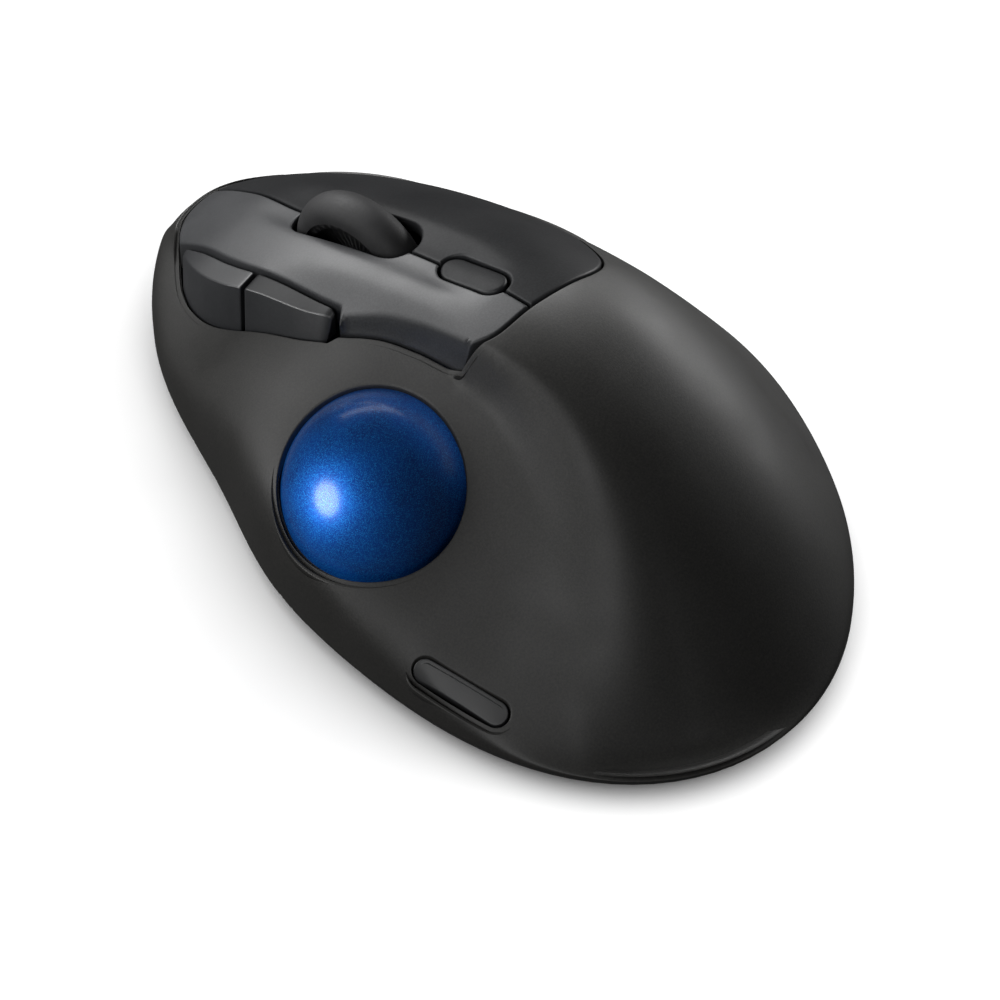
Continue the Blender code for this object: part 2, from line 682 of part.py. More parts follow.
def cap_section(y):
    """Four corners of a cap across Y: seam side, facet edge, outer foot and inner foot."""
    gap = SEAM / MM / 2
    inner, outer, edge = along(CAP_INNER, y) - gap, along(CAP_OUTER, y) + gap, along(CAP_EDGE, y)
    rolled = roll_off(math.hypot(edge, y) / outline_radius(math.atan2(y, edge)))
    top = BELT + (float(palm(inner, y)) * STRETCH[2] - BELT) * float(rolled)
    low = min(BELT + (float(thumb(outer, y)) * STRETCH[2] - BELT) * float(rolled) - 0.0018, top - 0.004)
    corners = ((inner, top), (edge, top - 0.0008), (outer, low), (inner, low))
    return [spot(x, y).to_2d().to_3d() + Vector((0, 0, z)) for x, z in corners]


def make_cap(name, first, last):
    sections = [cap_section(y) for y in np.linspace(first, last, 8)]
    corners = sum(sections, [])
    return loft(name, sections, "cap_plastic", sum(corners, Vector()) / len(corners))


def make_mode_button():
    """A capsule cap that follows the plates, on a stem down to its switch."""
    middle = MODE_SPOT.to_3d()
    top = skin_height(-0.4, 0.8)
    made = solid_skin("mode_button", "button_plastic", pivot=middle + Vector((0, 0, DECK_TOP)))
    area = prism("mode_area", capsule(MODE_LENGTH, MODE_WIDTH), top - 0.0034, HIGH, centre=middle)
    boolean(made, area, "INTERSECT")
    stem_low = DECK_TOP + CLEAR + TACT_SWITCH[2] + TRAVEL + CLEAR
    stem_high = top - 0.0030
    stem = rod("mode_stem", 0.0034, stem_high - stem_low,
               (middle.x, middle.y, (stem_high + stem_low) / 2), sides=14)
    return join(made, stem)


DECK_TOP = skin_height(0.0, 0.0) - 0.0125
DECK_THICK = 0.0016
make_cap("back_button", 18.6, CAP_SPLIT - CAP_GAP / 2)
make_cap("forward_button", CAP_SPLIT + CAP_GAP / 2, 58.6)
make_mode_button()

# ---- scroll wheel -----------------------------------------------------------------------------

CLICK_PIVOT = Vector((WHEEL_CENTRE.x, spot(0, 9.0).y, BUTTON_BOARD_Z + BOARD_THICK + 0.0050))
TYRE_RADIUS = TYRE_D / 2
ARM_X = TYRE_D / 2 + 0.0022
FRAME_FLOOR = CLICK_PIVOT.z
PRESS_AHEAD = 0.0106  # from the axle forwards to the wheel's switch
SIDEWAYS = Matrix.Rotation(math.pi / 2, 3, "Y")


def make_wheel():
    """Tyre, hub and axle, all turned about X."""
    middle = WHEEL_D / 2 - TYRE_RADIUS
    bead = HUB_D / 2 + CLEAR
    tread = [(middle + TYRE_RADIUS * math.cos(a), TYRE_RADIUS * math.sin(a))
             for a in np.linspace(math.pi / 2, -math.pi / 2, 9)]
    foot = [(bead, -TYRE_RADIUS * 0.75), (bead, TYRE_RADIUS * 0.75)]
    turned("wheel_tyre", tread + foot + tread[:1], 40, "tyre_rubber", WHEEL_CENTRE, SIDEWAYS)
    rim, dish, web = HUB_D / 2, HUB_D / 2 - 0.0014, 0.0012
    hole, boss, side = AXLE_D / 2 + CLEAR / 3, AXLE_D / 2 + 0.0014, TYRE_RADIUS * 0.8
    profile = [(hole, side), (boss, side), (boss, web), (dish, web), (dish, side), (rim, side),
               (rim, -side), (dish, -side), (dish, -web), (boss, -web), (boss, -side), (hole, -side),
               (hole, side)]
    turned("wheel_hub", profile, 36, "inner_plastic", WHEEL_CENTRE, SIDEWAYS)
    rod("wheel_axle", AXLE_D, AXLE_LENGTH, WHEEL_CENTRE, "X", "steel", pivot=WHEEL_CENTRE, sides=16)


def make_click_frame():
    """A cradle that carries the axle, rocks on a rear pin, and lets the wheel down through its floor."""
    x, y = WHEEL_CENTRE.x, WHEEL_CENTRE.y
    arm, thick = 0.006, 0.0014
    front, rear = y + PRESS_AHEAD + 0.0016, CLICK_PIVOT.y - 0.0016
    floor = block("click_frame", (2 * ARM_X + thick, front - rear, thick),
                  (x, (front + rear) / 2, FRAME_FLOOR), "inner_plastic", pivot=CLICK_PIVOT)
    room = WHEEL_CENTRE.z - FRAME_FLOOR - thick / 2 - 3 * CLEAR
    reach = math.sqrt((WHEEL_D / 2) ** 2 - room**2) + 2 * CLEAR
    cut(floor, block("wheel_window", (TYRE_D + 4 * CLEAR, 2 * reach, 2 * thick), (x, y, FRAME_FLOOR)))
    top = WHEEL_CENTRE.z + 0.0022
    for side in (-1, 1):
        name = "left" if side < 0 else "right"
        join(floor, block(f"frame_arm_{name}", (thick, arm, top - FRAME_FLOOR),
                          (x + side * ARM_X, y, (top + FRAME_FLOOR) / 2)))
    join(floor, rod("frame_pin", 0.0020, 2 * ARM_X + 0.0056, CLICK_PIVOT, "X", sides=12))
    return cut(floor, rod("axle_bore", AXLE_D + 2 * CLEAR, 4 * ARM_X, WHEEL_CENTRE, "X", sides=16))


def make_frame_bracket():
    """Two ears on the button board that hold the frame's pin."""
    low = BUTTON_BOARD_Z + BOARD_THICK + CLEAR
    ear_x, ear = ARM_X + 0.0020, 0.0012
    made = block("frame_bracket", (2 * ear_x + ear, 0.0050, 0.0012),
                 (CLICK_PIVOT.x, CLICK_PIVOT.y, low + 0.0006), "inner_plastic")
    high = CLICK_PIVOT.z + 0.0022
    for side in (-1, 1):
        name = "left" if side < 0 else "right"
        join(made, block(f"bracket_ear_{name}", (ear, 0.0050, high - low),
                         (CLICK_PIVOT.x + side * ear_x, CLICK_PIVOT.y, (high + low) / 2)))
    return cut(made, rod("pin_bore", 0.0020 + 2 * CLEAR, 4 * ear_x, CLICK_PIVOT, "X", sides=16))


def make_encoder():
    """The turn sensor rides on the frame's right arm and lets the axle's end in."""
    width = 0.0022
    x = WHEEL_CENTRE.x + ARM_X + 0.0007 + CLEAR + width / 2
    made = block("wheel_encoder", (width, 0.0060, 0.0070), (x, WHEEL_CENTRE.y, WHEEL_CENTRE.z - 0.0018),
                 "switch_plastic", pivot=CLICK_PIVOT)
    return cut(made, rod("encoder_bore", AXLE_D + 2 * CLEAR, 4 * width, (x, WHEEL_CENTRE.y, WHEEL_CENTRE.z),
                         "X", sides=16))


make_wheel()
make_click_frame()
make_frame_bracket()
make_encoder()

# ---- boards and switches ----------------------------------------------------------------------

BOARD_POSTS = (spot(16.5, 33.0).to_2d(), spot(13.5, 10.5).to_2d())
BOARD_LEFT = WHEEL_CENTRE.x - ARM_X - 0.0050
BOARD_RIGHT = spot(21.0, 0).x
BOARD_REAR, BOARD_FRONT = CLICK_PIVOT.y - 0.0032, spot(0, 51.5).y


def board(name, low, hole):
    """A circuit board between the same four edges, with a hole for each post or screw."""
    nick = 0.0040
    outline = [(BOARD_LEFT + nick, BOARD_REAR), (BOARD_RIGHT, BOARD_REAR), (BOARD_RIGHT, BOARD_FRONT),
               (BOARD_LEFT + nick, BOARD_FRONT), (BOARD_LEFT, BOARD_FRONT - nick),
               (BOARD_LEFT, BOARD_REAR + nick)]
    made = prism(name, outline, low, low + BOARD_THICK, "board")
    for k, post in enumerate(BOARD_POSTS):
        cut(made, rod(f"{name}_hole_{k + 1}", hole, 0.02, (post.x, post.y, low), sides=14))
    return made


def switch(name, size, centre, plunger=True, pivot=None):
    """A switch body standing on centre, with its plunger on top."""
    middle = Vector(centre) + Vector((0, 0, size[2] / 2))
    made = block(name, size, middle, "switch_plastic")
    if plunger:
        stub = 2 * PLUNGER
        join(made, rod(f"{name}_plunger", 0.0022, stub, middle + Vector((0, 0, size[2] / 2)), sides=10))
    return made


def make_boards():
    top = BUTTON_BOARD_Z + BOARD_THICK + CLEAR
    board("main_board", MAIN_BOARD_Z, 0.0050 + 4 * CLEAR)
    board("button_board", BUTTON_BOARD_Z, SCREW_D + 2 * CLEAR)
    link_low = MAIN_BOARD_Z + BOARD_THICK + CLEAR
    block("board_link", (0.0120, 0.0040, BUTTON_BOARD_Z - CLEAR - link_low),
          (BOARD_LEFT + 0.0080, BOARD_FRONT - 0.0040, (BUTTON_BOARD_Z - CLEAR + link_low) / 2),
          "switch_plastic")
    for name, post in (("left_switch", LEFT_POST), ("right_switch", RIGHT_POST)):
        switch(name, CLICK_SWITCH, (post["at"].x, post["at"].y, top))
    click_low = FRAME_FLOOR - 0.0007 - TRAVEL - CLEAR
    switch("wheel_switch", (0.0060, 0.0030, click_low - top),
           (WHEEL_CENTRE.x, WHEEL_CENTRE.y + PRESS_AHEAD, top), plunger=False)


def make_side_board():
    """An upright board with the switches of the forward and back buttons."""
    thick, low = 0.0012, BUTTON_BOARD_Z + BOARD_THICK + CLEAR
    x = LEFT_POST["at"].x - CLICK_SWITCH[0] / 2 - 2 * CLEAR - thick
    rear, middle, front = [spot(0, v).y for v in (21.0, 34.0, 47.0)]
    high, step = 0.0330, 0.0270
    outline = [(low, rear), (high, rear), (high, middle), (step, middle), (step, front), (low, front)]
    to_side = Matrix(((0, 0, 1), (0, 1, 0), (-1, 0, 0)))
    prism("side_board", [(-z, v) for z, v in outline], 0, thick, "board", turn=to_side, centre=(x, 0, 0))
    for name, v, z in (("back_switch", 27.0, 0.0295), ("forward_switch", 42.0, 0.0240)):
        near = spot(along(CAP_INNER, v), v).x + CAP_ROOM
        far = x - CLEAR
        block(name, (far - near, 0.0050, 0.0040), ((far + near) / 2, spot(0, v).y, z), "switch_plastic")


def make_deck():
    """A deck under the mode button on two legs."""
    made = block("button_deck", (0.022, 0.014, DECK_THICK),
                 (MODE_SPOT.x + 0.004, MODE_SPOT.y - 0.001, DECK_TOP - DECK_THICK / 2), "inner_plastic")
    foot = TRAY_TOP + CLEAR
    for k, x in enumerate((-0.003, 0.011)):
        high = DECK_TOP - DECK_THICK / 2
        join(made, rod(f"deck_leg_{k + 1}", 0.0040, high - foot,
                       (MODE_SPOT.x + x, MODE_SPOT.y - 0.005, (high + foot) / 2), sides=12))
    switch("mode_switch", TACT_SWITCH, (MODE_SPOT.x, MODE_SPOT.y, DECK_TOP + CLEAR), plunger=False)
    return made


# ---- base, power and feet ---------------------------------------------------------------------

CELL_CENTRE = Vector((*spot(7.0, -24.0).to_2d(), BASE_LIFT + FLOOR + CLEAR + 0.0006 + CELL_D / 2))
SPRING_ROOM = 0.0046
PLATE_ROOM = 0.0014
TRAY_LENGTH = CELL_LENGTH + SPRING_ROOM + PLATE_ROOM + 2 * TRAY_WALL
TRAY_Y = CELL_CENTRE.y + (PLATE_ROOM - SPRING_ROOM) / 2
TRAY_WIDTH = CELL_D + 4 * CLEAR + 2 * TRAY_WALL
TRAY_TOP = CELL_CENTRE.z + CELL_D / 2 + 2 * CLEAR + TRAY_WALL
RECEIVER_CENTRE = Vector((CELL_CENTRE.x - TRAY_WIDTH / 2 - RECEIVER[0] / 2 - TRAY_WALL / 2,
                          CELL_CENTRE.y - 0.011, BASE_LIFT + FLOOR + 2 * CLEAR + RECEIVER[2] / 2))
DOOR_LEFT = RECEIVER_CENTRE.x - RECEIVER[0] / 2 - TRAY_WALL
DOOR_RIGHT = CELL_CENTRE.x + TRAY_WIDTH / 2
DOOR_SIZE = (DOOR_RIGHT - DOOR_LEFT, TRAY_LENGTH)
DOOR_CENTRE = Vector(((DOOR_LEFT + DOOR_RIGHT) / 2, TRAY_Y, 0))
SLIDER_SPOT = spot(2.0, 28.0).to_2d()
PAIR_SPOT = spot(-2.0, 43.0).to_2d()
SLIDER_TRAVEL = 0.0040
FOOT_SIZE = (0.0180, 0.0070)
FEET = (62.0, 106.0, 214.0, 270.0, 338.0)  # where round the outline, in degrees
FOOT_INSET = 0.0115


def foot_place(degrees):
    """Centre of a foot and its turn, so that it lies along the outline."""
    at, near = math.radians(degrees), math.radians(degrees + 1.0)
    here, there = [Vector((math.cos(a), math.sin(a))) * (float(outline_radius(a)) - FOOT_INSET / MM)
                   for a in (at, near)]
    way = there - here
    return spot(*here).to_2d().to_3d(), Matrix.Rotation(math.atan2(-way.x, way.y), 3, "Z")


def base_form():
    """A low dish from the belt down to the underside, which is drawn in."""
    levels = ((BASE_LIFT, 0.0034), (BASE_LIFT + 0.0008, 0.0019), (BASE_LIFT + 0.0020, 0.0008),
              (BELT - CLEAR, 0.0002))
    sections = []
    for height, inset in levels:
        sections.append([p.to_3d() + Vector((0, 0, height)) for p in plan_outline(inset, 144)])
    return loft("base_plate", sections, "case_plastic")


def screw_hole(name, x, y):
    """A stepped hole through the floor for a screw and its head."""
    head = rod(f"{name}_head", SCREW_D * 2.4 + 2 * CLEAR, 0.0022, (x, y, BASE_LIFT), sides=14)
    shank = rod(f"{name}_shank", SCREW_D + 2 * CLEAR, 0.02, (x, y, BASE_LIFT), sides=10)
    return head, shank


def make_base():
    made = base_form()
    floor_top = BASE_LIFT + FLOOR
    cut(made, prism("dish", plan_outline(0.0026, 144), floor_top, 2 * BELT))
    cut(made, prism("door_opening", rectangle(DOOR_SIZE[0] + 2 * CLEAR, DOOR_SIZE[1] + 2 * CLEAR, 0.0015),
                    -BELT, 2 * BELT, centre=DOOR_CENTRE))
    cut(made, rod("eject_hole", EJECT_D, 0.02, BALL_SPOT.to_3d(), sides=24))
    slot = rectangle(0.0050 + 2 * CLEAR + SLIDER_TRAVEL, 0.0040 + 2 * CLEAR, 0.0003)
    cut(made, prism("slider_slot", slot, -BELT, 2 * BELT, centre=SLIDER_SPOT.to_3d()))
    cut(made, rod("pair_hole", 0.0040 + 2 * CLEAR, 0.02, PAIR_SPOT.to_3d(), sides=16))
    for k, post in enumerate(BOARD_POSTS):
        high = BUTTON_BOARD_Z - CLEAR
        low = floor_top - FLOOR / 2
        join(made, rod(f"board_post_{k + 1}", 0.0050, high - low, (post.x, post.y, (high + low) / 2),
                       sides=14))
        cut(made, rod(f"board_bore_{k + 1}", SCREW_D + 2 * CLEAR, 0.014, (post.x, post.y, high), sides=10))
    for k, (x, y) in enumerate(CASE_POSTS):
        centre = spot(x, y)
        cut(made, *screw_hole(f"case_screw_{k + 1}_hole", centre.x, centre.y))
    for k, degrees in enumerate(FEET):
        centre, turn = foot_place(degrees)
        recess = capsule(FOOT_SIZE[0] + 2 * CLEAR, FOOT_SIZE[1] + 2 * CLEAR)
        cut(made, prism(f"foot_recess_{k + 1}", recess, -BELT, FOOT_HEIGHT + CLEAR, turn=turn, centre=centre))
    return made


def make_feet():
    for k, degrees in enumerate(FEET):
        centre, turn = foot_place(degrees)
        prism(f"foot_{k + 1}", capsule(*FOOT_SIZE), 0.0, FOOT_HEIGHT, "foot_rubber", turn=turn, centre=centre)


def make_screw(name, x, y, head_low, length, upward):
    """A screw with its head at head_low and its shank going up or down."""
    head = 0.0007
    made = rod(name, SCREW_D * 2.4 - 2 * CLEAR, head, (x, y, head_low + head / 2), finish="steel", sides=14)
    middle = head_low + head + length / 2 if upward else head_low - length / 2
    reach = length + head
    middle += -head / 2 if upward else head / 2
    join(made, rod(f"{name}_thread", SCREW_D, reach, (x, y, middle), sides=10))
    return cut(made, block(f"{name}_drive", (0.0006, 0.0026, 0.0007),
                           (x, y, head_low if upward else head_low + head)))


def make_tray():
    """A long bay round the cell, open below, with a bay for the receiver beside it."""
    low = BASE_LIFT + FLOOR + CLEAR
    made = block("battery_tray", (TRAY_WIDTH, TRAY_LENGTH, TRAY_TOP - low),
                 (CELL_CENTRE.x, TRAY_Y, (TRAY_TOP + low) / 2), "inner_plastic")
    bay_top = RECEIVER_CENTRE.z + RECEIVER[2] / 2 + CLEAR + TRAY_WALL
    bay = (RECEIVER[0] + 2 * TRAY_WALL, RECEIVER[1] + 2 * (CLEAR + TRAY_WALL), bay_top - low)
    join(made, block("receiver_block", bay, (RECEIVER_CENTRE.x, RECEIVER_CENTRE.y, (bay_top + low) / 2)))
    inner = TRAY_LENGTH - 2 * TRAY_WALL
    arch = Vector((CELL_CENTRE.x, TRAY_Y, CELL_CENTRE.z))
    cut(made, rod("cell_bore", CELL_D + 4 * CLEAR, inner, arch, "Y", sides=28))
    cut(made, block("cell_mouth", (CELL_D + 4 * CLEAR - 0.0002, inner, 2 * (CELL_CENTRE.z - low)),
                    (CELL_CENTRE.x, TRAY_Y, low)))
    hole = (RECEIVER[0] + 2 * CLEAR, RECEIVER[1] + 2 * CLEAR, 2 * (bay_top - TRAY_WALL - low))
    return cut(made, block("receiver_mouth", hole, (RECEIVER_CENTRE.x, RECEIVER_CENTRE.y, low)))


def make_power():
    """Cell, contacts, receiver, door, power slider and pairing button."""
    cell = rod("aa_cell", CELL_D, CELL_LENGTH - 0.0010, CELL_CENTRE - Vector((0, 0.0005, 0)), "Y",
               "cell_jacket", sides=28)
    join(cell, rod("cell_button", 0.0055, 0.0030, CELL_CENTRE + Vector((0, CELL_LENGTH / 2 - 0.0015, 0)),
                   "Y", sides=14))
    end = CELL_LENGTH / 2
    block("plate_contact", (0.0100, 0.0005, 0.0090), CELL_CENTRE + Vector((0, end + 0.0008, 0)), "steel")
    make_spring_contact(CELL_CENTRE - Vector((0, end + CLEAR, 0)))
    block("usb_receiver", RECEIVER, RECEIVER_CENTRE, "switch_plastic")
    door_low = BASE_LIFT
    prism("battery_door", rectangle(*DOOR_SIZE, 0.0015), door_low, door_low + DOOR_THICK, "case_plastic",
          pivot=DOOR_CENTRE, centre=DOOR_CENTRE)
    flange = BASE_LIFT + FLOOR + CLEAR
    x = SLIDER_SPOT.x + SLIDER_TRAVEL / 2
    knob = block("power_slider", (0.0050, 0.0040, flange + 0.0004 - BASE_LIFT),
                 (x, SLIDER_SPOT.y, (flange + 0.0004 + BASE_LIFT) / 2), "tyre_rubber",
                 pivot=(x, SLIDER_SPOT.y, flange))
    join(knob, block("slider_flange", (0.0110, 0.0062, 0.0008), (x, SLIDER_SPOT.y, flange + 0.0004)))
    top = flange + 0.0008 + CLEAR
    block("power_switch", (0.0090, 0.0040, MAIN_BOARD_Z - CLEAR - top),
          (SLIDER_SPOT.x, SLIDER_SPOT.y, (MAIN_BOARD_Z - CLEAR + top) / 2), "switch_plastic")
    pair = rod("pairing_button", 0.0040, flange + 0.0004 - BASE_LIFT - CLEAR,
               (PAIR_SPOT.x, PAIR_SPOT.y, (flange + 0.0004 + BASE_LIFT + CLEAR) / 2),
               finish="tyre_rubber", pivot=(PAIR_SPOT.x, PAIR_SPOT.y, flange), sides=16)
    join(pair, rod("pair_flange", 0.0060, 0.0006, (PAIR_SPOT.x, PAIR_SPOT.y, flange + 0.0003), sides=16))
    low = flange + 0.0006 + TRAVEL + CLEAR
    block("pairing_switch", (0.0040, 0.0040, MAIN_BOARD_Z - CLEAR - low),
          (PAIR_SPOT.x, PAIR_SPOT.y, (MAIN_BOARD_Z - CLEAR + low) / 2), "switch_plastic")


def make_spring_contact(front):
    """A short conical coil of wire along Y, as a swept curve, whose narrow end meets the cell."""
    curve = bpy.data.curves.new("spring_contact", "CURVE")
    curve.dimensions = "3D"
    curve.bevel_depth = 0.00025
    curve.bevel_resolution = 1
    curve.use_fill_caps = True
    turns, count, length = 3.0, 37, 0.0034
    line = curve.splines.new("POLY")
    line.points.add(count - 1)
    for k in range(count):
        t = k / (count - 1)
        a, r = 2 * math.pi * turns * t, 0.0018 + 0.0024 * t
        line.points[k].co = (front.x + r * math.cos(a), front.y - 0.00025 - length * t,
                             front.z + r * math.sin(a), 1.0)
    made = bpy.data.objects.new("spring_contact", curve)
    PIECES.objects.link(made)
    curve.materials.append(finish_of("steel"))
    return made


make_boards()
make_side_board()
make_deck()
make_base()
make_feet()
make_tray()
make_power()
for number, (drawn_x, drawn_y) in enumerate(CASE_POSTS):
    where = spot(drawn_x, drawn_y)
    make_screw(f"case_screw_{number + 1}", where.x, where.y, BASE_LIFT + CLEAR / 3, 0.0088, True)
for number, where in enumerate(BOARD_POSTS):
    make_screw(f"board_screw_{number + 1}", where.x, where.y, BUTTON_BOARD_Z + BOARD_THICK + CLEAR,
               0.0060, False)
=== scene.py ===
# %% [markdown]
# # A thumb trackball mouse, skinned and finished
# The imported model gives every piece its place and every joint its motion. This lesson lays fine
# surfaces over the pieces that show, then gives each piece the finish of the real one: spark-eroded
# ABS, a lacquered ball, a rubber wheel. All sizes are metres, with +Y towards the click buttons.

# %% Load the model
import json
import math

import bpy
import numpy as np
from mathutils import Matrix, Vector
from mathutils.geometry import delaunay_2d_cdt

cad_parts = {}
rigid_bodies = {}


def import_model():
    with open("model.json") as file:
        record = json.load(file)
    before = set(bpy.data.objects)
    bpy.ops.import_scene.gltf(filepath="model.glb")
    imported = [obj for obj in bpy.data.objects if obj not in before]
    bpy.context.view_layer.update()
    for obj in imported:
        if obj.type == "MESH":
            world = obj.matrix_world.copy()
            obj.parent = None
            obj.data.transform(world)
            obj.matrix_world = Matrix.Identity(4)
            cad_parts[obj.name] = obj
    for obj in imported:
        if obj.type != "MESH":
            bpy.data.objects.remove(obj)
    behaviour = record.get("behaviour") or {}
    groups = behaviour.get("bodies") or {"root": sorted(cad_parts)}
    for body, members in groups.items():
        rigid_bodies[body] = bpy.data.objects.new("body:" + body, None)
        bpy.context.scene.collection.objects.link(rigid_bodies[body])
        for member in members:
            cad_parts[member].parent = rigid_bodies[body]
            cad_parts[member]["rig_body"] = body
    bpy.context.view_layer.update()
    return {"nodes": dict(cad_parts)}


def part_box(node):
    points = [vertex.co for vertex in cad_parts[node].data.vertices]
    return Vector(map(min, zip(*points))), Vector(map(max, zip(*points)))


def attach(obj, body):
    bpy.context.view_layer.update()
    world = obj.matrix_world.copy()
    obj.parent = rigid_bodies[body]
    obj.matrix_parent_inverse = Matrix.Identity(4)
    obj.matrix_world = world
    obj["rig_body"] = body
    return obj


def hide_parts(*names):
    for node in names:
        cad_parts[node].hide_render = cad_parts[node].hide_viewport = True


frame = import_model()
NODES = frame["nodes"]
MM = 0.001

# %% [markdown]
# ## The skin as one formula
# The body has no edge from the palm to the thumb side, only a soft step. It could be sculpted, or
# patched from curves, but one height formula over the plan keeps the case, both button plates, the
# mode button and the window on exactly the same surface. The formula is drawn in millimetres and
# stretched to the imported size.

# %% The plan outline and the stretch to real size
OUTLINE_COS = (58.9, 2.1, -13.6, -1.2, 1.5)
OUTLINE_SIN = (0.0, -2.4, 6.5, -1.6, -2.7)
DRAWN_HEIGHT = 51.0
BODY_WIDTH, BODY_LENGTH, BODY_HEIGHT = 0.0966, 0.1516, 0.0510
BELT = 0.0045
SEAM = 0.0006


def outline_radius(turn):
    """Distance of the plan outline from its middle: a sum of four cosine and sine waves."""
    return sum(c * np.cos(k * turn) + s * np.sin(k * turn)
               for k, (c, s) in enumerate(zip(OUTLINE_COS, OUTLINE_SIN)))


TURNS = np.linspace(0.0, 2.0 * math.pi, 721)
REACH = np.stack([np.cos(TURNS), np.sin(TURNS)]) * outline_radius(TURNS)
MIDDLE = (REACH.max(axis=1) + REACH.min(axis=1)) / 2.0
SPAN = REACH.max(axis=1) - REACH.min(axis=1)
STRETCH = np.array([BODY_WIDTH / SPAN[0], BODY_LENGTH / SPAN[1], BODY_HEIGHT / DRAWN_HEIGHT])


def in_metres(x, y, z):
    """Drawn points, as whole arrays, moved to the middle of the plan and stretched to metres."""
    return np.stack([(x - MIDDLE[0]) * STRETCH[0], (y - MIDDLE[1]) * STRETCH[1], z * STRETCH[2]], axis=-1)


print("stretch", STRETCH / MM)

# %% Palm, thumb side, step and trough


def ease(t):
    """0 below 0, 1 above 1, and a smooth step between."""
    t = np.clip(t, 0.0, 1.0)
    return t * t * (3.0 - 2.0 * t)


def seam_x(y):
    """The centre seam: straight along the wheel, then bending to the nose."""
    return -0.9 + 0.0035 * np.maximum(0.0, y - 14.0) ** 2


def palm(x, y):
    """A crest that falls to the front and the rear by powers of the distance, and off to both sides."""
    v = y + 11.6
    crest = DRAWN_HEIGHT - np.where(v > 0, 31.0 * np.abs(v / 80.0) ** 2, 41.0 * np.abs(v / 60.0) ** 1.75)
    side = np.where(x < 30.0, 34.0 * np.abs(x / 40.0) ** 2.25, 17.8 + 1.335 * (x - 30.0))
    shoulder = 2.2 * ease((-9.0 - x) / 6.0) * (1.0 - ease((y - 20.0) / 18.0)) * ease((y + 12.0) / 14.0)
    return crest - shoulder - np.where(x > 0, side, 18.0 * (x / 30.0) ** 2)


def thumb(x, y):
    """A slope that rises to the palm, with a quadratic fall forwards and a lift at the nose."""
    a, b = x + 32.3, y + 6.1
    fall = np.where(b > 0, 0.003, 0.004) * b * b + 0.008 * np.maximum(0.0, y - 5.0) ** 2
    lift = 0.024 * np.maximum(0.0, y - 38.0) ** 2 * ease((x + 40.0) / 26.0)
    return 28.0 + 0.55 * a + 0.008 * a * a + 0.16 * b - 0.008 * a * b - fall + lift


def ledge_x(y):
    """Where the palm side steps down to the thumb side."""
    rear = 0.009 * np.minimum(y + 12.0, 0.0) ** 2
    front = 0.011 * np.clip(y - 2.0, 0.0, 18.0) ** 2
    return -12.2 - rear - front + 0.45 * np.maximum(0.0, y - 45.0)


def trough(x, y):
    """The shallow dip along the wheel: a flat-bottomed bell across, faded in and out along."""
    along = ease((y + 6.0) / 12.0) * (1.0 - ease((y - 40.0) / 14.0))
    return 1.4 * along * np.exp(-(((x - seam_x(y)) / 5.2) ** 4))


def roll_off(share):
    """1 in the middle and 0 at the outline, where the side wall stands upright."""
    return np.clip(1.0 - share**9, 0.0, None) ** 0.2


def skin(x, y, shift=0.0):
    """Drawn height: thumb side blended into palm across the step, pulled down to the belt at the outline."""
    move = shift * ease((y + 8.0) / 7.0) if shift > 0 else shift
    width = 4.5 + 0.45 * np.maximum(0.0, -14.0 - y)
    side = ease((x - ledge_x(y) - move) / width + 0.5)
    low = thumb(x, y)
    belt = BELT / STRETCH[2]
    rise = low + (palm(x, y) - trough(x, y) - low) * side - belt
    rise = (rise + np.sqrt(rise * rise + 3.6**2)) / 2.0
    share = np.minimum(np.hypot(x, y) / outline_radius(np.arctan2(y, x)), 1.0)
    return belt + rise * roll_off(share)


CASE_SHIFT, PLATE_SHIFT = 2.3, -4.8
print("crest", round(float(skin(0.0, -11.6)), 2), "mm; thumb side", round(float(skin(-32.3, -6.1)), 2), "mm")

# %% [markdown]
# ## Seam lines
# The plates, caps and window end on drawn seam lines. A Catmull-Rom curve runs through a few points
# of each, which is the shortest way to a smooth line that hits its points. Corners stay sharp because
# each line is its own curve.

# %% Seam curves
REAR_SEAM = ((-12.9, -7.2), (-8.2, -10.6), (-0.9, -11.7), (7.2, -12.7), (13.4, -13.0), (17.6, -11.6),
             (20.6, -8.4), (24.3, -1.5))
RIGHT_SEAM = ((27.2, 8.0), (29.2, 20.0), (29.4, 32.0), (27.6, 44.0), (24.6, 55.0), (20.6, 64.0))
NOSE_SEAM = ((20.6, 64.0), (16.6, 68.4), (11.6, 70.0), (6.0, 69.6), (0.0, 67.8), (-5.0, 64.6), (-8.2, 61.6))
CAP_OUTER = ((-9.9, 59.9), (-12.2, 57.2), (-14.6, 53.0), (-16.6, 47.0), (-17.6, 40.0), (-18.2, 32.0),
             (-18.4, 24.0), (-17.6, 17.8))
CAP_EDGE = ((-15.3, 17.8), (-16.5, 24.0), (-16.9, 30.0), (-16.9, 38.0), (-16.6, 43.0), (-15.3, 48.5),
            (-13.2, 53.5), (-9.9, 59.0))
CAP_INNER = ((-14.0, 18.2), (-13.6, 27.4), (-13.0, 37.2), (-11.9, 45.2), (-9.9, 53.0), (-8.6, 59.6))
WALL_SEAM = ((-16.3, 16.6), (-14.3, 8.7), (-13.3, 0.9))


def curve(points, steps=12):
    """Catmull-Rom: between two points, a cubic whose slope at each is half the chord of its neighbours."""
    p = np.array(points, float)
    p = np.vstack([2 * p[0] - p[1], p, 2 * p[-1] - p[-2]])
    t = np.linspace(0.0, 1.0, steps, endpoint=False)[None, :, None]
    a, b, c, d = (p[k:len(p) - 3 + k, None, :] for k in range(4))
    made = 0.5 * (2 * b + (c - a) * t + (2 * a - 5 * b + 4 * c - d) * t**2 + (3 * b - a - 3 * c + d) * t**3)
    return np.vstack([made.reshape(-1, 2), p[-2]])


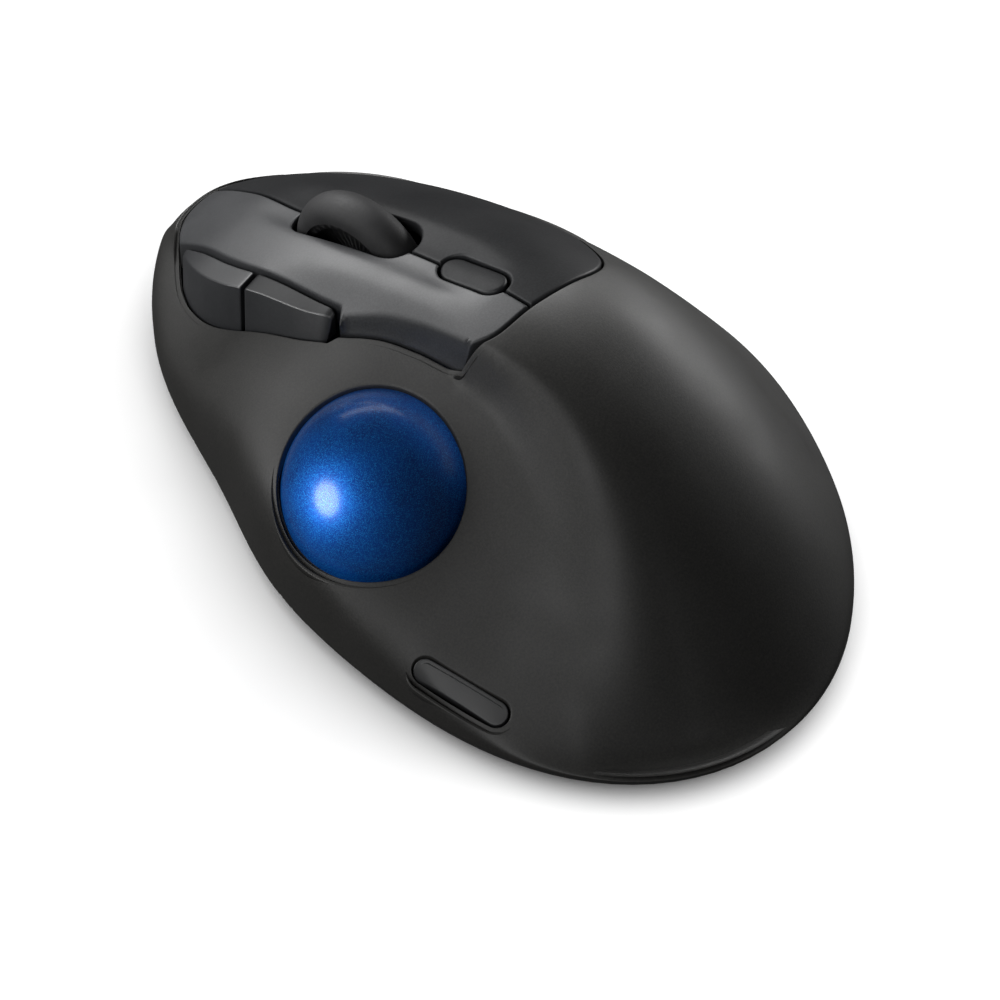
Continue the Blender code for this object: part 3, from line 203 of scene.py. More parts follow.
def spaced(loop, step):
    """A closed loop with points added along each side, no further apart than step."""
    ahead = np.roll(loop, -1, axis=0)
    counts = np.maximum(1, np.ceil(np.hypot(*(ahead - loop).T) / step)).astype(int)
    start = np.repeat(np.arange(len(loop)), counts)
    within = np.arange(counts.sum()) - np.repeat(np.cumsum(counts) - counts, counts)
    share = (within / counts[start])[:, None]
    return loop[start] * (1 - share) + ahead[start] * share


def tidy_loop(loop):
    """The loop counter-clockwise, without doubled points."""
    loop = loop[np.hypot(*(loop - np.roll(loop, 1, axis=0)).T) > 0.02]
    x, y = loop.T
    area = np.sum(x * np.roll(y, -1) - np.roll(x, -1) * y)
    return loop if area > 0 else loop[::-1]


def moved_in(loop, distance):
    """A closed counter-clockwise loop with each point moved in along the mean of its sides' normals."""
    u = loop - np.roll(loop, 1, axis=0)
    v = np.roll(loop, -1, axis=0) - loop
    u, v = (w / np.hypot(*w.T)[:, None] for w in (u, v))
    n = np.stack([-(u[:, 1] + v[:, 1]), u[:, 0] + v[:, 0]], axis=1)
    return loop + n / np.maximum(0.35, 1 + (u * v).sum(1))[:, None] * distance


def capsule(length, width, centre, steps=20):
    """A slot with round ends along Y, in drawn millimetres."""
    half, radius = (length - width) / 2, width / 2
    turn = np.concatenate([np.linspace(0, math.pi, steps), np.linspace(math.pi, 2 * math.pi, steps)])
    shift = np.repeat([half, -half], steps)
    return np.stack([radius * np.cos(turn) + centre[0], radius * np.sin(turn) + shift + centre[1]], axis=1)


# %% Outlines of the opening, the plates and the buttons
rear, nose = curve(REAR_SEAM), curve(NOSE_SEAM)
meet_rear = int(np.argmin(np.abs(rear[:, 0] - seam_x(-11.7))))
meet_nose = int(np.argmin(np.abs(nose[:, 0] - seam_x(70.0))))
mid_y = np.linspace(-11.0, 69.0, 60)
midline = np.stack([seam_x(mid_y), mid_y], axis=1)
right = curve(((24.3, -1.5),) + RIGHT_SEAM)

OPENING = tidy_loop(np.vstack([rear, right, nose, curve(CAP_OUTER), curve(WALL_SEAM)]))
LEFT_LOOP = tidy_loop(np.vstack([rear[:meet_rear + 1], midline, nose[meet_nose:],
                                 curve(CAP_INNER)[::-1], curve(WALL_SEAM)]))
RIGHT_LOOP = tidy_loop(np.vstack([rear[meet_rear:], right, nose[:meet_nose + 1], midline[::-1]]))
WHEEL_SLOT = capsule(26.2, 9.2, (0.2, 27.0))
MODE_LOOP = capsule(12.6, 5.0, (-0.4, 0.8))
MODE_HOLE = capsule(13.8, 6.2, (-0.4, 0.8))
print("loops:", [len(loop) for loop in (OPENING, LEFT_LOOP, RIGHT_LOOP)], "points")

# %% [markdown]
# ## One way to make a moulded sheet
# A moulded part is a sheet of even thickness with a small radius on each edge. Cutting it from a
# solid leaves long thin faces along the cut, and they shade badly. Here the plan is filled with
# points instead: rings that follow every edge, close together where the edge rounds over, and an
# even lattice between. A constrained Delaunay triangulation joins them without crossing an edge.
# Each point then takes its height from the skin, less the quarter circle of the rounded edge.

# %% Distances and insides


def edge_distance(points, loops):
    """Least distance of each point to the loops' sides."""
    a = np.vstack(loops)
    b = np.vstack([np.roll(loop, -1, axis=0) for loop in loops])
    along = b - a
    length = np.maximum((along**2).sum(1), 1e-12)
    out = np.empty(len(points))
    for first in range(0, len(points), 1500):
        part = points[first:first + 1500, None, :] - a[None]
        t = np.clip((part * along[None]).sum(2) / length, 0.0, 1.0)
        out[first:first + 1500] = np.sqrt(((part - t[..., None] * along[None]) ** 2).sum(2).min(1))
    return out


def inside(points, loop):
    """Even-odd rule: a point is inside when a line to its right crosses the loop an odd number of times."""
    x0, y0 = loop.T
    x1, y1 = np.roll(loop, -1, axis=0).T
    out = np.empty(len(points), bool)
    for first in range(0, len(points), 3000):
        px, py = points[first:first + 3000, 0:1], points[first:first + 3000, 1:2]
        spans = (y0 > py) != (y1 > py)
        with np.errstate(divide="ignore", invalid="ignore"):
            cross = px < (x1 - x0) * (py - y0) / (y1 - y0) + x0
        out[first:first + 3000] = (spans & cross).sum(1) % 2 == 1
    return out


# %% The sheet
PIECES = bpy.data.collections.new("trackball_mouse")
bpy.context.scene.collection.children.link(PIECES)
RING_STEPS = (0.05, 0.12, 0.20, 0.30, 0.42, 0.58, 0.80, 1.10, 1.45, 1.85, 2.3)


def object_of(name, points, faces, body, cad=(), sharp=38.0):
    """A mesh object at the origin, smooth up to an angle, riding on a body and standing for CAD nodes."""
    mesh = bpy.data.meshes.new(name)
    mesh.from_pydata(np.asarray(points, float).tolist(), [], [list(map(int, f)) for f in faces])
    mesh.validate()
    mesh.shade_smooth()
    mesh.set_sharp_from_angle(angle=math.radians(sharp))
    made = bpy.data.objects.new(name, mesh)
    PIECES.objects.link(made)
    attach(made, body)
    if cad:
        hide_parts(*cad)
    return made


def filled(outer, holes, step, ring_steps=RING_STEPS):
    """Plan points and triangles of the area inside outer and outside the holes."""
    loops = [spaced(outer, step * 0.7)] + [spaced(hole, step * 0.7) for hole in holes]
    rings = []
    for k, loop in enumerate(loops):
        way = 1.0 if k == 0 else -1.0
        rings += [moved_in(loop, way * d) for d in ring_steps]
    counts = np.repeat([len(loop) for loop in loops], len(ring_steps))
    reach = np.repeat(np.tile(ring_steps, len(loops)), counts)
    low, high = outer.min(0), outer.max(0)
    xs, ys = np.arange(low[0], high[0], step), np.arange(low[1], high[1], step * 0.866)
    lattice = np.stack(np.meshgrid(xs, ys), axis=-1)
    lattice[1::2, :, 0] += step / 2
    lattice = lattice.reshape(-1, 2)
    inner = np.vstack(rings + [lattice])
    need = np.concatenate([0.93 * reach, np.full(len(lattice), ring_steps[-1] + 0.4 * step)])
    held = inside(inner, loops[0])
    for loop in loops[1:]:
        held &= ~inside(inner, loop)
    inner, need = inner[held], need[held]
    inner = inner[edge_distance(inner, loops) >= need]
    edges, base = [], 0
    for loop in loops:
        n = len(loop)
        edges += [(base + k, base + (k + 1) % n) for k in range(n)]
        base += n
    points = [Vector(p) for p in np.vstack(loops + [inner]).tolist()]
    out = delaunay_2d_cdt(points, edges, [], 0, 1e-5)
    flat = np.array([tuple(v) for v in out[0]])
    faces = np.array([f for f in out[2] if len(f) == 3])
    middle = flat[faces].mean(1)
    held = inside(middle, loops[0])
    for loop in loops[1:]:
        held &= ~inside(middle, loop)
    faces = faces[held]
    used, faces = np.unique(faces, return_inverse=True)
    faces = faces.reshape(-1, 3)
    flat = flat[used]
    a, b, c = (flat[faces[:, k]] for k in range(3))
    turned = (b[:, 0] - a[:, 0]) * (c[:, 1] - a[:, 1]) - (b[:, 1] - a[:, 1]) * (c[:, 0] - a[:, 0]) < 0
    faces[turned] = faces[turned][:, ::-1]
    return flat, faces, loops


def rim_of(faces):
    """The directed edges that belong to one face only, which bound the sheet."""
    edges = np.vstack([faces[:, (0, 1)], faces[:, (1, 2)], faces[:, (2, 0)]])
    key = np.sort(edges, axis=1)
    _, back, count = np.unique(key, axis=0, return_inverse=True, return_counts=True)
    return edges[count[back.reshape(-1)] == 1]


def sheet_mesh(flat, faces, top, foot):
    """Points at their top heights, joined at the rim to a second row at the foot heights."""
    rim = rim_of(faces)
    edge = np.unique(rim)
    lower = np.full(len(flat), -1)
    lower[edge] = len(flat) + np.arange(len(edge))
    points = np.vstack([in_metres(*flat.T, top), in_metres(*flat[edge].T, foot[edge])])
    walls = np.stack([rim[:, 1], rim[:, 0], lower[rim[:, 0]], lower[rim[:, 1]]], axis=1)
    return points, list(faces) + list(walls)


def rounded(distance, radius):
    """Drop of a rounded edge: a quarter circle that falls by its radius at the edge."""
    d = np.clip(distance, 0.0, radius)
    return radius - np.sqrt(np.maximum(radius**2 - (radius - d) ** 2, 0.0))


def thicken(made, thickness):
    """Gives a sheet its wall, inwards from the outer face."""
    wall = made.modifiers.new("wall", "SOLIDIFY")
    wall.thickness = thickness
    wall.offset = -1.0
    return made


# %% [markdown]
# ## The button plates
# The two click plates are one skin split along the centre seam. The left one also comes down the
# step to the thumb side, so its side wall is part of the plate. An eased S from the palm's height to
# the thumb's gives that wall the shoulder above and the flare below.

# %% Left and right plate
WALL_LINE = np.vstack([curve(WALL_SEAM), np.array(REAR_SEAM[:1])])


def plate(name, loop, with_wall):
    """A skin patch with rounded edges; its wall side falls over 1.5 mm from palm to thumb height."""
    outline = moved_in(tidy_loop(loop), SEAM / MM / 2)
    flat, faces, loops = filled(outline, [WHEEL_SLOT, MODE_HOLE], 1.1)
    d = edge_distance(flat, loops)
    high = skin(*flat.T, PLATE_SHIFT)
    foot = high - 2.4
    if with_wall:
        line = edge_distance(flat, [np.vstack([WALL_LINE, WALL_LINE[::-1]])]) - SEAM / MM / 2
        fade = 1.0 - ease((flat[:, 1] - 15.6) / 1.2)
        fall = np.maximum(high - thumb(*flat.T) - 0.25, 0.0)
        high = high - fall * (1.0 - ease(line / 1.5 + 0.02)) * fade
        foot = np.minimum(foot, thumb(*flat.T) - 1.6 + 0.0 * high)
    top = high - rounded(d, 0.38)
    points, faces = sheet_mesh(flat, faces, top, np.minimum(foot, top - 1.2))
    body = "left_key" if with_wall else "right_key"
    made = thicken(object_of(name, points, faces, body, [f"{name}_button"]), 0.9 * MM)
    print(name, "plate:", len(points), "points")
    return made


left_plate = plate("left", LEFT_LOOP, True)
left_plate.name = "left_plate"
right_plate = plate("right", RIGHT_LOOP, False)
right_plate.name = "right_plate"

# %% [markdown]
# ## The case
# The case is the rest of the skin, from the opening for the plates down to the belt. Near the belt the
# wall stands upright, so points spaced evenly in plan would leave it bare. The plan is therefore
# stretched outwards, by how far the wall has dropped, before it is filled, and pressed back after.

# %% Stretch the plan by the wall's drop
SHARES = 1.0 - np.concatenate([np.linspace(1.0, 0.05, 200), np.geomspace(0.0499, 1e-9, 600), [0.0]])
WALL_REACH = 0.72


def widened(points):
    """Plan points moved out, so that distance in the plan is about distance over the surface."""
    radius, turn = np.hypot(*points.T), np.arctan2(points[:, 1], points[:, 0])
    reach = outline_radius(turn)
    share = np.minimum(radius / reach, 1.0)
    wide = (share + WALL_REACH * (1.0 - roll_off(share))) * reach
    return np.stack([wide * np.cos(turn), wide * np.sin(turn)], axis=1)


def narrowed(points):
    """The inverse of widened, by interpolation in a table of shares."""
    radius, turn = np.hypot(*points.T), np.arctan2(points[:, 1], points[:, 0])
    reach = outline_radius(turn)
    share = np.interp(radius / reach, SHARES + WALL_REACH * (1.0 - roll_off(SHARES)), SHARES)
    return np.stack([share * reach * np.cos(turn), share * reach * np.sin(turn)], axis=1)


# %% The ball's opening and the window's opening
BALL_LOW, BALL_HIGH = (np.array(corner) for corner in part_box("trackball"))
BALL_CENTRE = (BALL_LOW + BALL_HIGH) / 2
BALL_RADIUS = float((BALL_HIGH - BALL_LOW).max() / 2)
WINDOW_SPOT = np.array([-44.5, -33.5])


def ball_hole(radius, spokes=220):
    """The loop where a sphere about the ball's middle meets the skin, found by halving along each spoke."""
    turn = np.linspace(0.0, 2.0 * math.pi, spokes, endpoint=False)
    cx, cy = BALL_CENTRE[0] / STRETCH[0] + MIDDLE[0], BALL_CENTRE[1] / STRETCH[1] + MIDDLE[1]
    low, high = np.zeros(spokes), np.full(spokes, 21.0)
    for _ in range(40):
        middle = (low + high) / 2
        x, y = cx + middle * np.cos(turn), cy + middle * np.sin(turn)
        apart = np.linalg.norm(in_metres(x, y, skin(x, y, CASE_SHIFT)) - BALL_CENTRE, axis=1)
        low, high = np.where(apart < radius, middle, low), np.where(apart < radius, high, middle)
    return np.stack([cx + low * np.cos(turn), cy + low * np.sin(turn)], axis=1)


def skin_way(x, y, step=0.2):
    """Unit normal of the skin over a drawn point, from central differences."""
    rise_x = (skin(x + step, y) - skin(x - step, y)) * STRETCH[2] / (2 * step * STRETCH[0])
    rise_y = (skin(x, y + step) - skin(x, y - step)) * STRETCH[2] / (2 * step * STRETCH[1])
    way = np.array([-rise_x, -rise_y, 1.0])
    return way / np.linalg.norm(way)


WINDOW_OUT = skin_way(*WINDOW_SPOT)
across = np.cross((-0.20, 0.95, 0.24), WINDOW_OUT)
across = across / np.linalg.norm(across)
WINDOW_UP = np.cross(WINDOW_OUT, across)
WINDOW_MIDDLE = in_metres(*WINDOW_SPOT, skin(*WINDOW_SPOT))


def window_loop(length, width):
    """A capsule facing the skin's normal, slid along that normal until it lies on the skin."""
    u, v = capsule(length, width, (0.0, 0.0)).T * MM
    flat = WINDOW_MIDDLE + u[:, None] * across + v[:, None] * WINDOW_UP
    low, high = np.full(len(u), -0.008), np.full(len(u), 0.008)
    for _ in range(40):
        middle = (low + high) / 2
        p = flat + middle[:, None] * WINDOW_OUT
        x, y = p[:, 0] / STRETCH[0] + MIDDLE[0], p[:, 1] / STRETCH[1] + MIDDLE[1]
        under = p[:, 2] < skin(x, y) * STRETCH[2]
        low, high = np.where(under, middle, low), np.where(under, high, middle)
    return np.stack([x, y], axis=1)


HOLE = tidy_loop(ball_hole(BALL_RADIUS + 0.0007))
WINDOW_HOLE = tidy_loop(window_loop(17.9, 4.8))
print("in plan: ball hole", np.ptp(HOLE, axis=0).round(1), "window", np.ptp(WINDOW_HOLE, axis=0).round(1))

# %% The case itself


def case():
    """The skin over the widened plan: rounded edges at its openings and a plain foot at the belt."""
    turns = TURNS[:-1]
    rim = np.stack([outline_radius(turns) * np.cos(turns), outline_radius(turns) * np.sin(turns)], axis=1)
    holes = [widened(moved_in(OPENING, -0.12)), widened(HOLE), widened(WINDOW_HOLE)]
    flat, faces, loops = filled(widened(rim), holes, 1.1)
    d = edge_distance(flat, loops[1:])
    plan = narrowed(flat)
    top = skin(*plan.T, CASE_SHIFT)
    outwards = np.hypot(*plan.T) / outline_radius(np.arctan2(plan[:, 1], plan[:, 0]))
    slope = np.clip((1.0 - roll_off(outwards)) * 2, 0, 0.8)
    top = top - rounded(d, 0.34) * (1.0 - slope)
    outside = edge_distance(flat, loops[:1]) < 1e-3
    foot = np.where(outside, top, top - 2.2)
    rim_edges = rim_of(faces)
    edge = np.unique(rim_edges)
    inward = np.where(outside, 0.975, 1.0)
    lower = np.full(len(flat), -1)
    lower[edge] = len(flat) + np.arange(len(edge))
    foot_plan = plan[edge] * inward[edge][:, None]
    foot_high = np.maximum(foot[edge], BELT / STRETCH[2])
    points = np.vstack([in_metres(*plan.T, top), in_metres(*foot_plan.T, foot_high)])
    one, two = rim_edges.T
    walls = np.stack([two, one, lower[one], lower[two]], axis=1)
    made = object_of("case_skin", points, list(faces) + list(walls), "housing", ["top_case"])
    print("case:", len(points), "points")
    return thicken(made, 0.9 * MM)


case_skin = case()

# %% [markdown]
# ## Mode button and window
# Both are small capsules of the same skin, so the sheet maker does them too. The mode button is
# crowned a little across its width, as a moulded button is. The window sits flush in its slot.

# %% Mode button and window


def mode_cap():
    """A capsule of skin, crowned across by a parabola, with a rounded edge and a 3 mm skirt."""
    flat, faces, loops = filled(MODE_LOOP, [], 0.6, (0.05, 0.12, 0.20, 0.30, 0.42, 0.58, 0.80, 1.10))
    d = edge_distance(flat, loops)
    crown = 0.35 * np.clip(1.0 - ((flat[:, 0] + 0.4) / 2.5) ** 2, 0.0, 1.0)
    top = skin(*flat.T) - 0.25 + crown - rounded(d, 0.5)
    points, faces = sheet_mesh(flat, faces, top, top - 2.6)
    return thicken(object_of("mode_cap", points, faces, "mode_key", ["mode_button"]), 0.8 * MM)


def window():
    """A capsule of skin with a fine rounded edge."""
    steps = (0.05, 0.12, 0.2, 0.3, 0.45, 0.65)
    flat, faces, loops = filled(tidy_loop(window_loop(17.2, 4.1)), [], 0.5, steps)
    top = skin(*flat.T) - 0.06 - rounded(edge_distance(flat, loops), 0.16)
    points, faces = sheet_mesh(flat, faces, top, top - 1.2)
    return thicken(object_of("window_lens", points, faces, "housing", ["indicator_window"]), 0.7 * MM)


mode_piece = mode_cap()
window_piece = window()
print("mode cap", len(mode_piece.data.vertices), "points; window", len(window_piece.data.vertices), "points")

# %% [markdown]
# ## Forward and back caps
# Each cap is a bar with a flat top facet and a flat side facet that meet in a crisp edge. A profile
# with rounded corners is carried along the seam, and drawn together over the last half millimetre at
# both ends, so the ends round off like the edges.

# %% Caps as a carried profile
CAP_SPLIT, CAP_GAP = 37.6, 0.9


def on_curve(points, y):
    """X of a drawn curve at Y."""
    line = curve(points, 16)
    line = line[np.argsort(line[:, 1])]
    return np.interp(y, line[:, 1], line[:, 0])


def cap_corners(y):
    """Corners of a cap across Y, in drawn millimetres: seam side, facet edge, outer foot and inner foot."""
    gap = SEAM / MM / 2
    inner, outer, edge = on_curve(CAP_INNER, y) - gap, on_curve(CAP_OUTER, y) + gap, on_curve(CAP_EDGE, y)
    rolled = roll_off(np.hypot(edge, y) / outline_radius(np.arctan2(y, edge)))
    belt = BELT / STRETCH[2]
    top = belt + (palm(inner, y) - belt) * rolled
    low = np.minimum(belt + (thumb(outer, y) - belt) * rolled - 1.8, top - 4.0)
    x = np.stack([inner, edge, outer, inner], axis=1)
    z = np.stack([top, top - 0.8, low, low], axis=1)
    return x, z


def cap(name, first, last, rounding, body):
    """The profile at 44 places along Y, each corner a quadratic bend set back by its radius."""
    start, end, depth = rounding
    bend = np.linspace(0.0, math.pi / 2, 6)
    ys = np.concatenate([first + start * (1 - np.sin(bend)), np.linspace(first + start, last - end, 34)[1:-1],
                         last - end * (1 - np.sin(bend[::-1]))])
    ys = np.sort(ys)
    rear = depth * (1.0 - np.sqrt(np.maximum(1.0 - (1.0 - np.minimum((ys - first) / start, 1.0)) ** 2, 0.0)))
    front = end * (1.0 - np.sqrt(np.maximum(1.0 - (1.0 - np.minimum((last - ys) / end, 1.0)) ** 2, 0.0)))
    draw = np.maximum(rear, front)
    x, z = cap_corners(ys)
    middle_x, middle_z = x.mean(1, keepdims=True), z.mean(1, keepdims=True)
    half = np.hypot(x - middle_x, z - middle_z)
    pull = 1.0 - draw[:, None] / half
    x, z = middle_x + (x - middle_x) * pull, middle_z + (z - middle_z) * pull
    corners = np.stack([x, z], axis=2)
    t = np.linspace(0.0, 1.0, 7)[None, :, None]
    rows = []
    for k, radius in enumerate((0.45, 0.32, 0.25, 0.25)):
        here, before, after = corners[:, k], corners[:, k - 1], corners[:, (k + 1) % 4]
        to_before = (before - here) / np.linalg.norm(before - here, axis=1, keepdims=True)
        to_after = (after - here) / np.linalg.norm(after - here, axis=1, keepdims=True)
        a, b = (here + to_before * radius)[:, None], (here + to_after * radius)[:, None]
        rows.append((1 - t) ** 2 * a + 2 * t * (1 - t) * here[:, None] + t**2 * b)
    ring = np.concatenate(rows, axis=1)
    count, around = ring.shape[0], ring.shape[1]
    points = in_metres(ring[..., 0], np.repeat(ys[:, None], around, axis=1), ring[..., 1]).reshape(-1, 3)
    i, j = np.meshgrid(np.arange(count - 1), np.arange(around), indexing="ij")
    n = (j + 1) % around
    here, there = i * around, (i + 1) * around
    quads = np.stack([here + j, here + n, there + n, there + j], -1).reshape(-1, 4)
    ends = [list(range(around))[::-1], list(range((count - 1) * around, count * around))]
    made = object_of(f"{name}_cap", points, list(quads) + ends, body, [f"{name}_button"], 25.0)
    tidy_normals(made)
    return made


def tidy_normals(made):
    """Points every face of a closed mesh outwards: it is turned round when its volume comes out negative."""
    mesh = made.data
    mesh.calc_loop_triangles()
    corners = np.empty(len(mesh.loop_triangles) * 3, np.int32)
    mesh.loop_triangles.foreach_get("vertices", corners)
    co = np.empty(len(mesh.vertices) * 3, np.float32)
    mesh.vertices.foreach_get("co", co)
    a, b, c = np.moveaxis(co.reshape(-1, 3)[corners.reshape(-1, 3)].astype(float), 1, 0)
    if (np.cross(a, b) * c).sum() < 0:
        mesh.flip_normals()


back_cap = cap("back", 18.6, CAP_SPLIT - CAP_GAP / 2, (1.7, 0.5, 1.3), "back_key")
forward_cap = cap("forward", CAP_SPLIT + CAP_GAP / 2, 58.6, (0.5, 0.5, 0.5), "forward_key")
print("caps:", len(back_cap.data.vertices), "points each")

# %% [markdown]
# ## Ball and wheel
# Both are turned shapes. A sphere with many rings keeps its highlights round, and a profile spun
# about X makes the tyre. Poles close in one point, so no seam opens.

# %% Spun surfaces


def spun(name, profile, steps, centre, body, cad):
    """A closed (radius, x) profile turned about the X axis through the centre, each ring joined round to its
    start.
    """
    profile = np.array(profile, float)
    turn = np.linspace(0.0, 2.0 * math.pi, steps, endpoint=False)
    r, x = profile[:, 0][:, None], profile[:, 1][:, None]
    ring = np.stack([np.broadcast_to(x, (len(profile), steps)), r * np.cos(turn), r * np.sin(turn)], axis=-1)
    count = len(profile)
    i, j = np.meshgrid(np.arange(count), np.arange(steps), indexing="ij")
    m, n = (i + 1) % count, (j + 1) % steps
    quads = np.stack([i * steps + j, i * steps + n, m * steps + n, m * steps + j], axis=-1).reshape(-1, 4)
    made = object_of(name, ring.reshape(-1, 3) + np.array(centre), quads, body, cad, 30.0)
    tidy_normals(made)
    return made


def ball():
    """Latitude rings from pole to pole about X, the joint's own axis, each pole one point."""
    down = np.linspace(0.0, math.pi, 97)[1:-1]
    turn = np.linspace(0.0, 2.0 * math.pi, 192, endpoint=False)
    a, b = np.meshgrid(down, turn, indexing="ij")
    ring = np.stack([np.cos(a), np.sin(a) * np.cos(b), np.sin(a) * np.sin(b)], axis=-1).reshape(-1, 3)
    points = np.vstack([ring, [[1, 0, 0], [-1, 0, 0]]]) * BALL_RADIUS + BALL_CENTRE
    rows, cols = len(down), len(turn)
    i, j = np.meshgrid(np.arange(rows - 1), np.arange(cols), indexing="ij")
    n = (j + 1) % cols
    quads = np.stack([i * cols + j, i * cols + n, (i + 1) * cols + n, (i + 1) * cols + j], -1).reshape(-1, 4)
    k = np.arange(cols)
    near = np.stack([np.full(cols, rows * cols), (k + 1) % cols, k], axis=1)
    last = (rows - 1) * cols
    far = np.stack([np.full(cols, rows * cols + 1), last + k, last + (k + 1) % cols], axis=1)
    made = object_of("ball_skin", points, list(quads) + list(near) + list(far), "ball", ["trackball"], 180.0)
    tidy_normals(made)
    return made


ball_skin = ball()
tyre_low, tyre_high = (np.array(corner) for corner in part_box("wheel_tyre"))
WHEEL_CENTRE = (tyre_low + tyre_high) / 2
outer, half = (tyre_high[2] - tyre_low[2]) / 2, (tyre_high[0] - tyre_low[0]) / 2
arc = np.linspace(math.pi / 2, -math.pi / 2, 33)
tread = [((outer - half) + half * math.cos(a), half * math.sin(a)) for a in arc]
bead = (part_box("wheel_hub")[1].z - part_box("wheel_hub")[0].z) / 2 + 0.0003
tyre = spun("tyre_ring", tread + [(bead, -0.75 * half), (bead, 0.75 * half)], 160, WHEEL_CENTRE,
            "wheel", ["wheel_tyre"])
print("ball radius", round(BALL_RADIUS / MM, 2), "mm; wheel radius", round(outer / MM, 2), "mm")

# %% [markdown]
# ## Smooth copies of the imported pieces
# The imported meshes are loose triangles, so each face shades flat. A copy with its doubles merged can
# be shaded smooth up to an angle, which keeps cut edges crisp and lets round sides look round.

# %% Merge and smooth
import bmesh


def smoothed(node, angle=32.0):
    """A merged copy of a CAD node, shaded smooth up to the angle."""
    source = NODES[node]
    shape = bmesh.new()
    shape.from_mesh(source.data)
    bmesh.ops.remove_doubles(shape, verts=shape.verts, dist=2e-6)
    mesh = bpy.data.meshes.new(f"{node}_smooth")
    shape.to_mesh(mesh)
    shape.free()
    mesh.materials.clear()
    mesh.shade_smooth()
    mesh.set_sharp_from_angle(angle=math.radians(angle))
    made = bpy.data.objects.new(f"{node}_smooth", mesh)
    PIECES.objects.link(made)
    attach(made, source["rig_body"])
    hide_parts(node)
    return made


REDRAWN = {"top_case", "left_button", "right_button", "mode_button", "indicator_window", "back_button",
           "forward_button", "trackball", "wheel_tyre"}
SMOOTH = {node: smoothed(node) for node in sorted(set(NODES) - REDRAWN)}
print(len(SMOOTH), "carried pieces shaded smooth")

# %% [markdown]
# ## Finishes
# Every material is a small node tree on Object coordinates, so a pattern keeps its real scale and
# stays on the piece as it moves. One function adds a node and one turns sRGB hex to linear.

# %% Two helpers for node trees


def linear(code):
    """sRGB hex to linear RGBA: each channel is divided by 12.92 near black and raised to 2.4 above."""
    channels = [int(code[k:k + 2], 16) / 255 for k in (1, 3, 5)]
    return (*[c / 12.92 if c <= 0.04045 else ((c + 0.055) / 1.055) ** 2.4 for c in channels], 1.0)


def add(tree, kind, settings=None, **links):
    """A node with its settings: attributes and inputs by name, and links from other nodes' sockets."""
    made = tree.nodes.new(kind)
    for key, value in (settings or {}).items():
        if key in made.inputs:
            made.inputs[key].default_value = value
        else:
            setattr(made, key, value)
    for key, source in links.items():
        tree.links.new(source, made.inputs[key.replace("_", " ")])
    return made


def finish(name, **shader):
    """A new material with its Principled sockets set, and its Object coordinates."""
    made = bpy.data.materials.new(name)
    made.use_nodes = True
    tree = made.node_tree
    principled = tree.nodes["Principled BSDF"]
    for key, value in shader.items():
        principled.inputs[key.replace("_", " ")].default_value = value
    place = add(tree, "ShaderNodeTexCoord").outputs["Object"]
    return made, tree, principled, place


def ramp(tree, source, low, high, start, stop):
    """Two colours, or two greys, blended where the source runs from start to stop."""
    made = add(tree, "ShaderNodeValToRGB", None, Fac=source)
    for element, spot, colour in zip(made.color_ramp.elements, (start, stop), (low, high)):
        element.position = spot
        element.color = colour
    return made.outputs["Color"]


def noise(tree, place, size_mm, detail, **more):
    """Noise whose blobs measure about the given millimetres."""
    settings = {"Scale": 1 / (size_mm * MM), "Detail": detail, **more}
    return add(tree, "ShaderNodeTexNoise", settings, Vector=place).outputs["Fac"]


def grey(value):
    """A grey as four numbers, for a colour stop or a plain value."""
    return (value, value, value, 1.0)


# %% [markdown]
# ### Spark-eroded ABS
# The case and plates are injection-moulded ABS from a spark-eroded tool. Its pits are about 0.1 mm
# and too fine to show, so they are drawn at 0.35 mm. They scatter the light into a soft grey sheen
# with a fine warm speckle. Hands polish the high places, so roughness drifts slowly as well.

# %% Moulded plastics


def moulded_abs(name, body, fleck, roughness, grain_mm=0.35, depth=0.05, **shader):
    """Speckled colour from fine noise, drifting roughness from coarse noise, bump from the grain."""
    made, tree, principled, place = finish(name, IOR=1.53, **shader)
    grain = noise(tree, place, grain_mm, 3.0, Roughness=0.6)
    drift = noise(tree, place, 14, 2.0)
    speckle = ramp(tree, grain, linear(body), linear(fleck), 0.35, 0.72)
    tree.links.new(speckle, principled.inputs["Base Color"])
    tree.links.new(ramp(tree, drift, grey(roughness - 0.05), grey(roughness + 0.05), 0.3, 0.7),
                   principled.inputs["Roughness"])
    bump = add(tree, "ShaderNodeBump", {"Strength": 0.35, "Distance": depth * MM}, Height=grain)
    tree.links.new(bump.outputs["Normal"], principled.inputs["Normal"])
    return made


case_abs = moulded_abs("case_spark_eroded_abs", "#242423", "#32312f", 0.50)
plate_abs = moulded_abs("plate_spark_eroded_abs", "#262729", "#343537", 0.46)
cap_abs = moulded_abs("cap_satin_abs", "#17181a", "#202123", 0.40, 0.5, 0.02)
base_abs = moulded_abs("base_spark_eroded_abs", "#1c1c1c", "#282827", 0.56)
inner_abs = moulded_abs("inner_natural_abs", "#1d1d1e", "#2a2a2b", 0.55, 0.6)
switch_nylon = moulded_abs("switch_glass_filled_nylon", "#17181a", "#2c2c2e", 0.42, 0.5)
print("moulded plastics:", case_abs.name, plate_abs.name, cap_abs.name)

# %% [markdown]
# ### Lacquered ball
# The ball is cast phenolic or polyester resin with metal flakes under a polished clear coat. Flakes
# are about 0.05 mm, drawn at 0.10 mm, and each catches the light on its own, so a cell pattern varies
# both colour and roughness. The clear coat above gives the sharp reflections.

# %% Ball resin


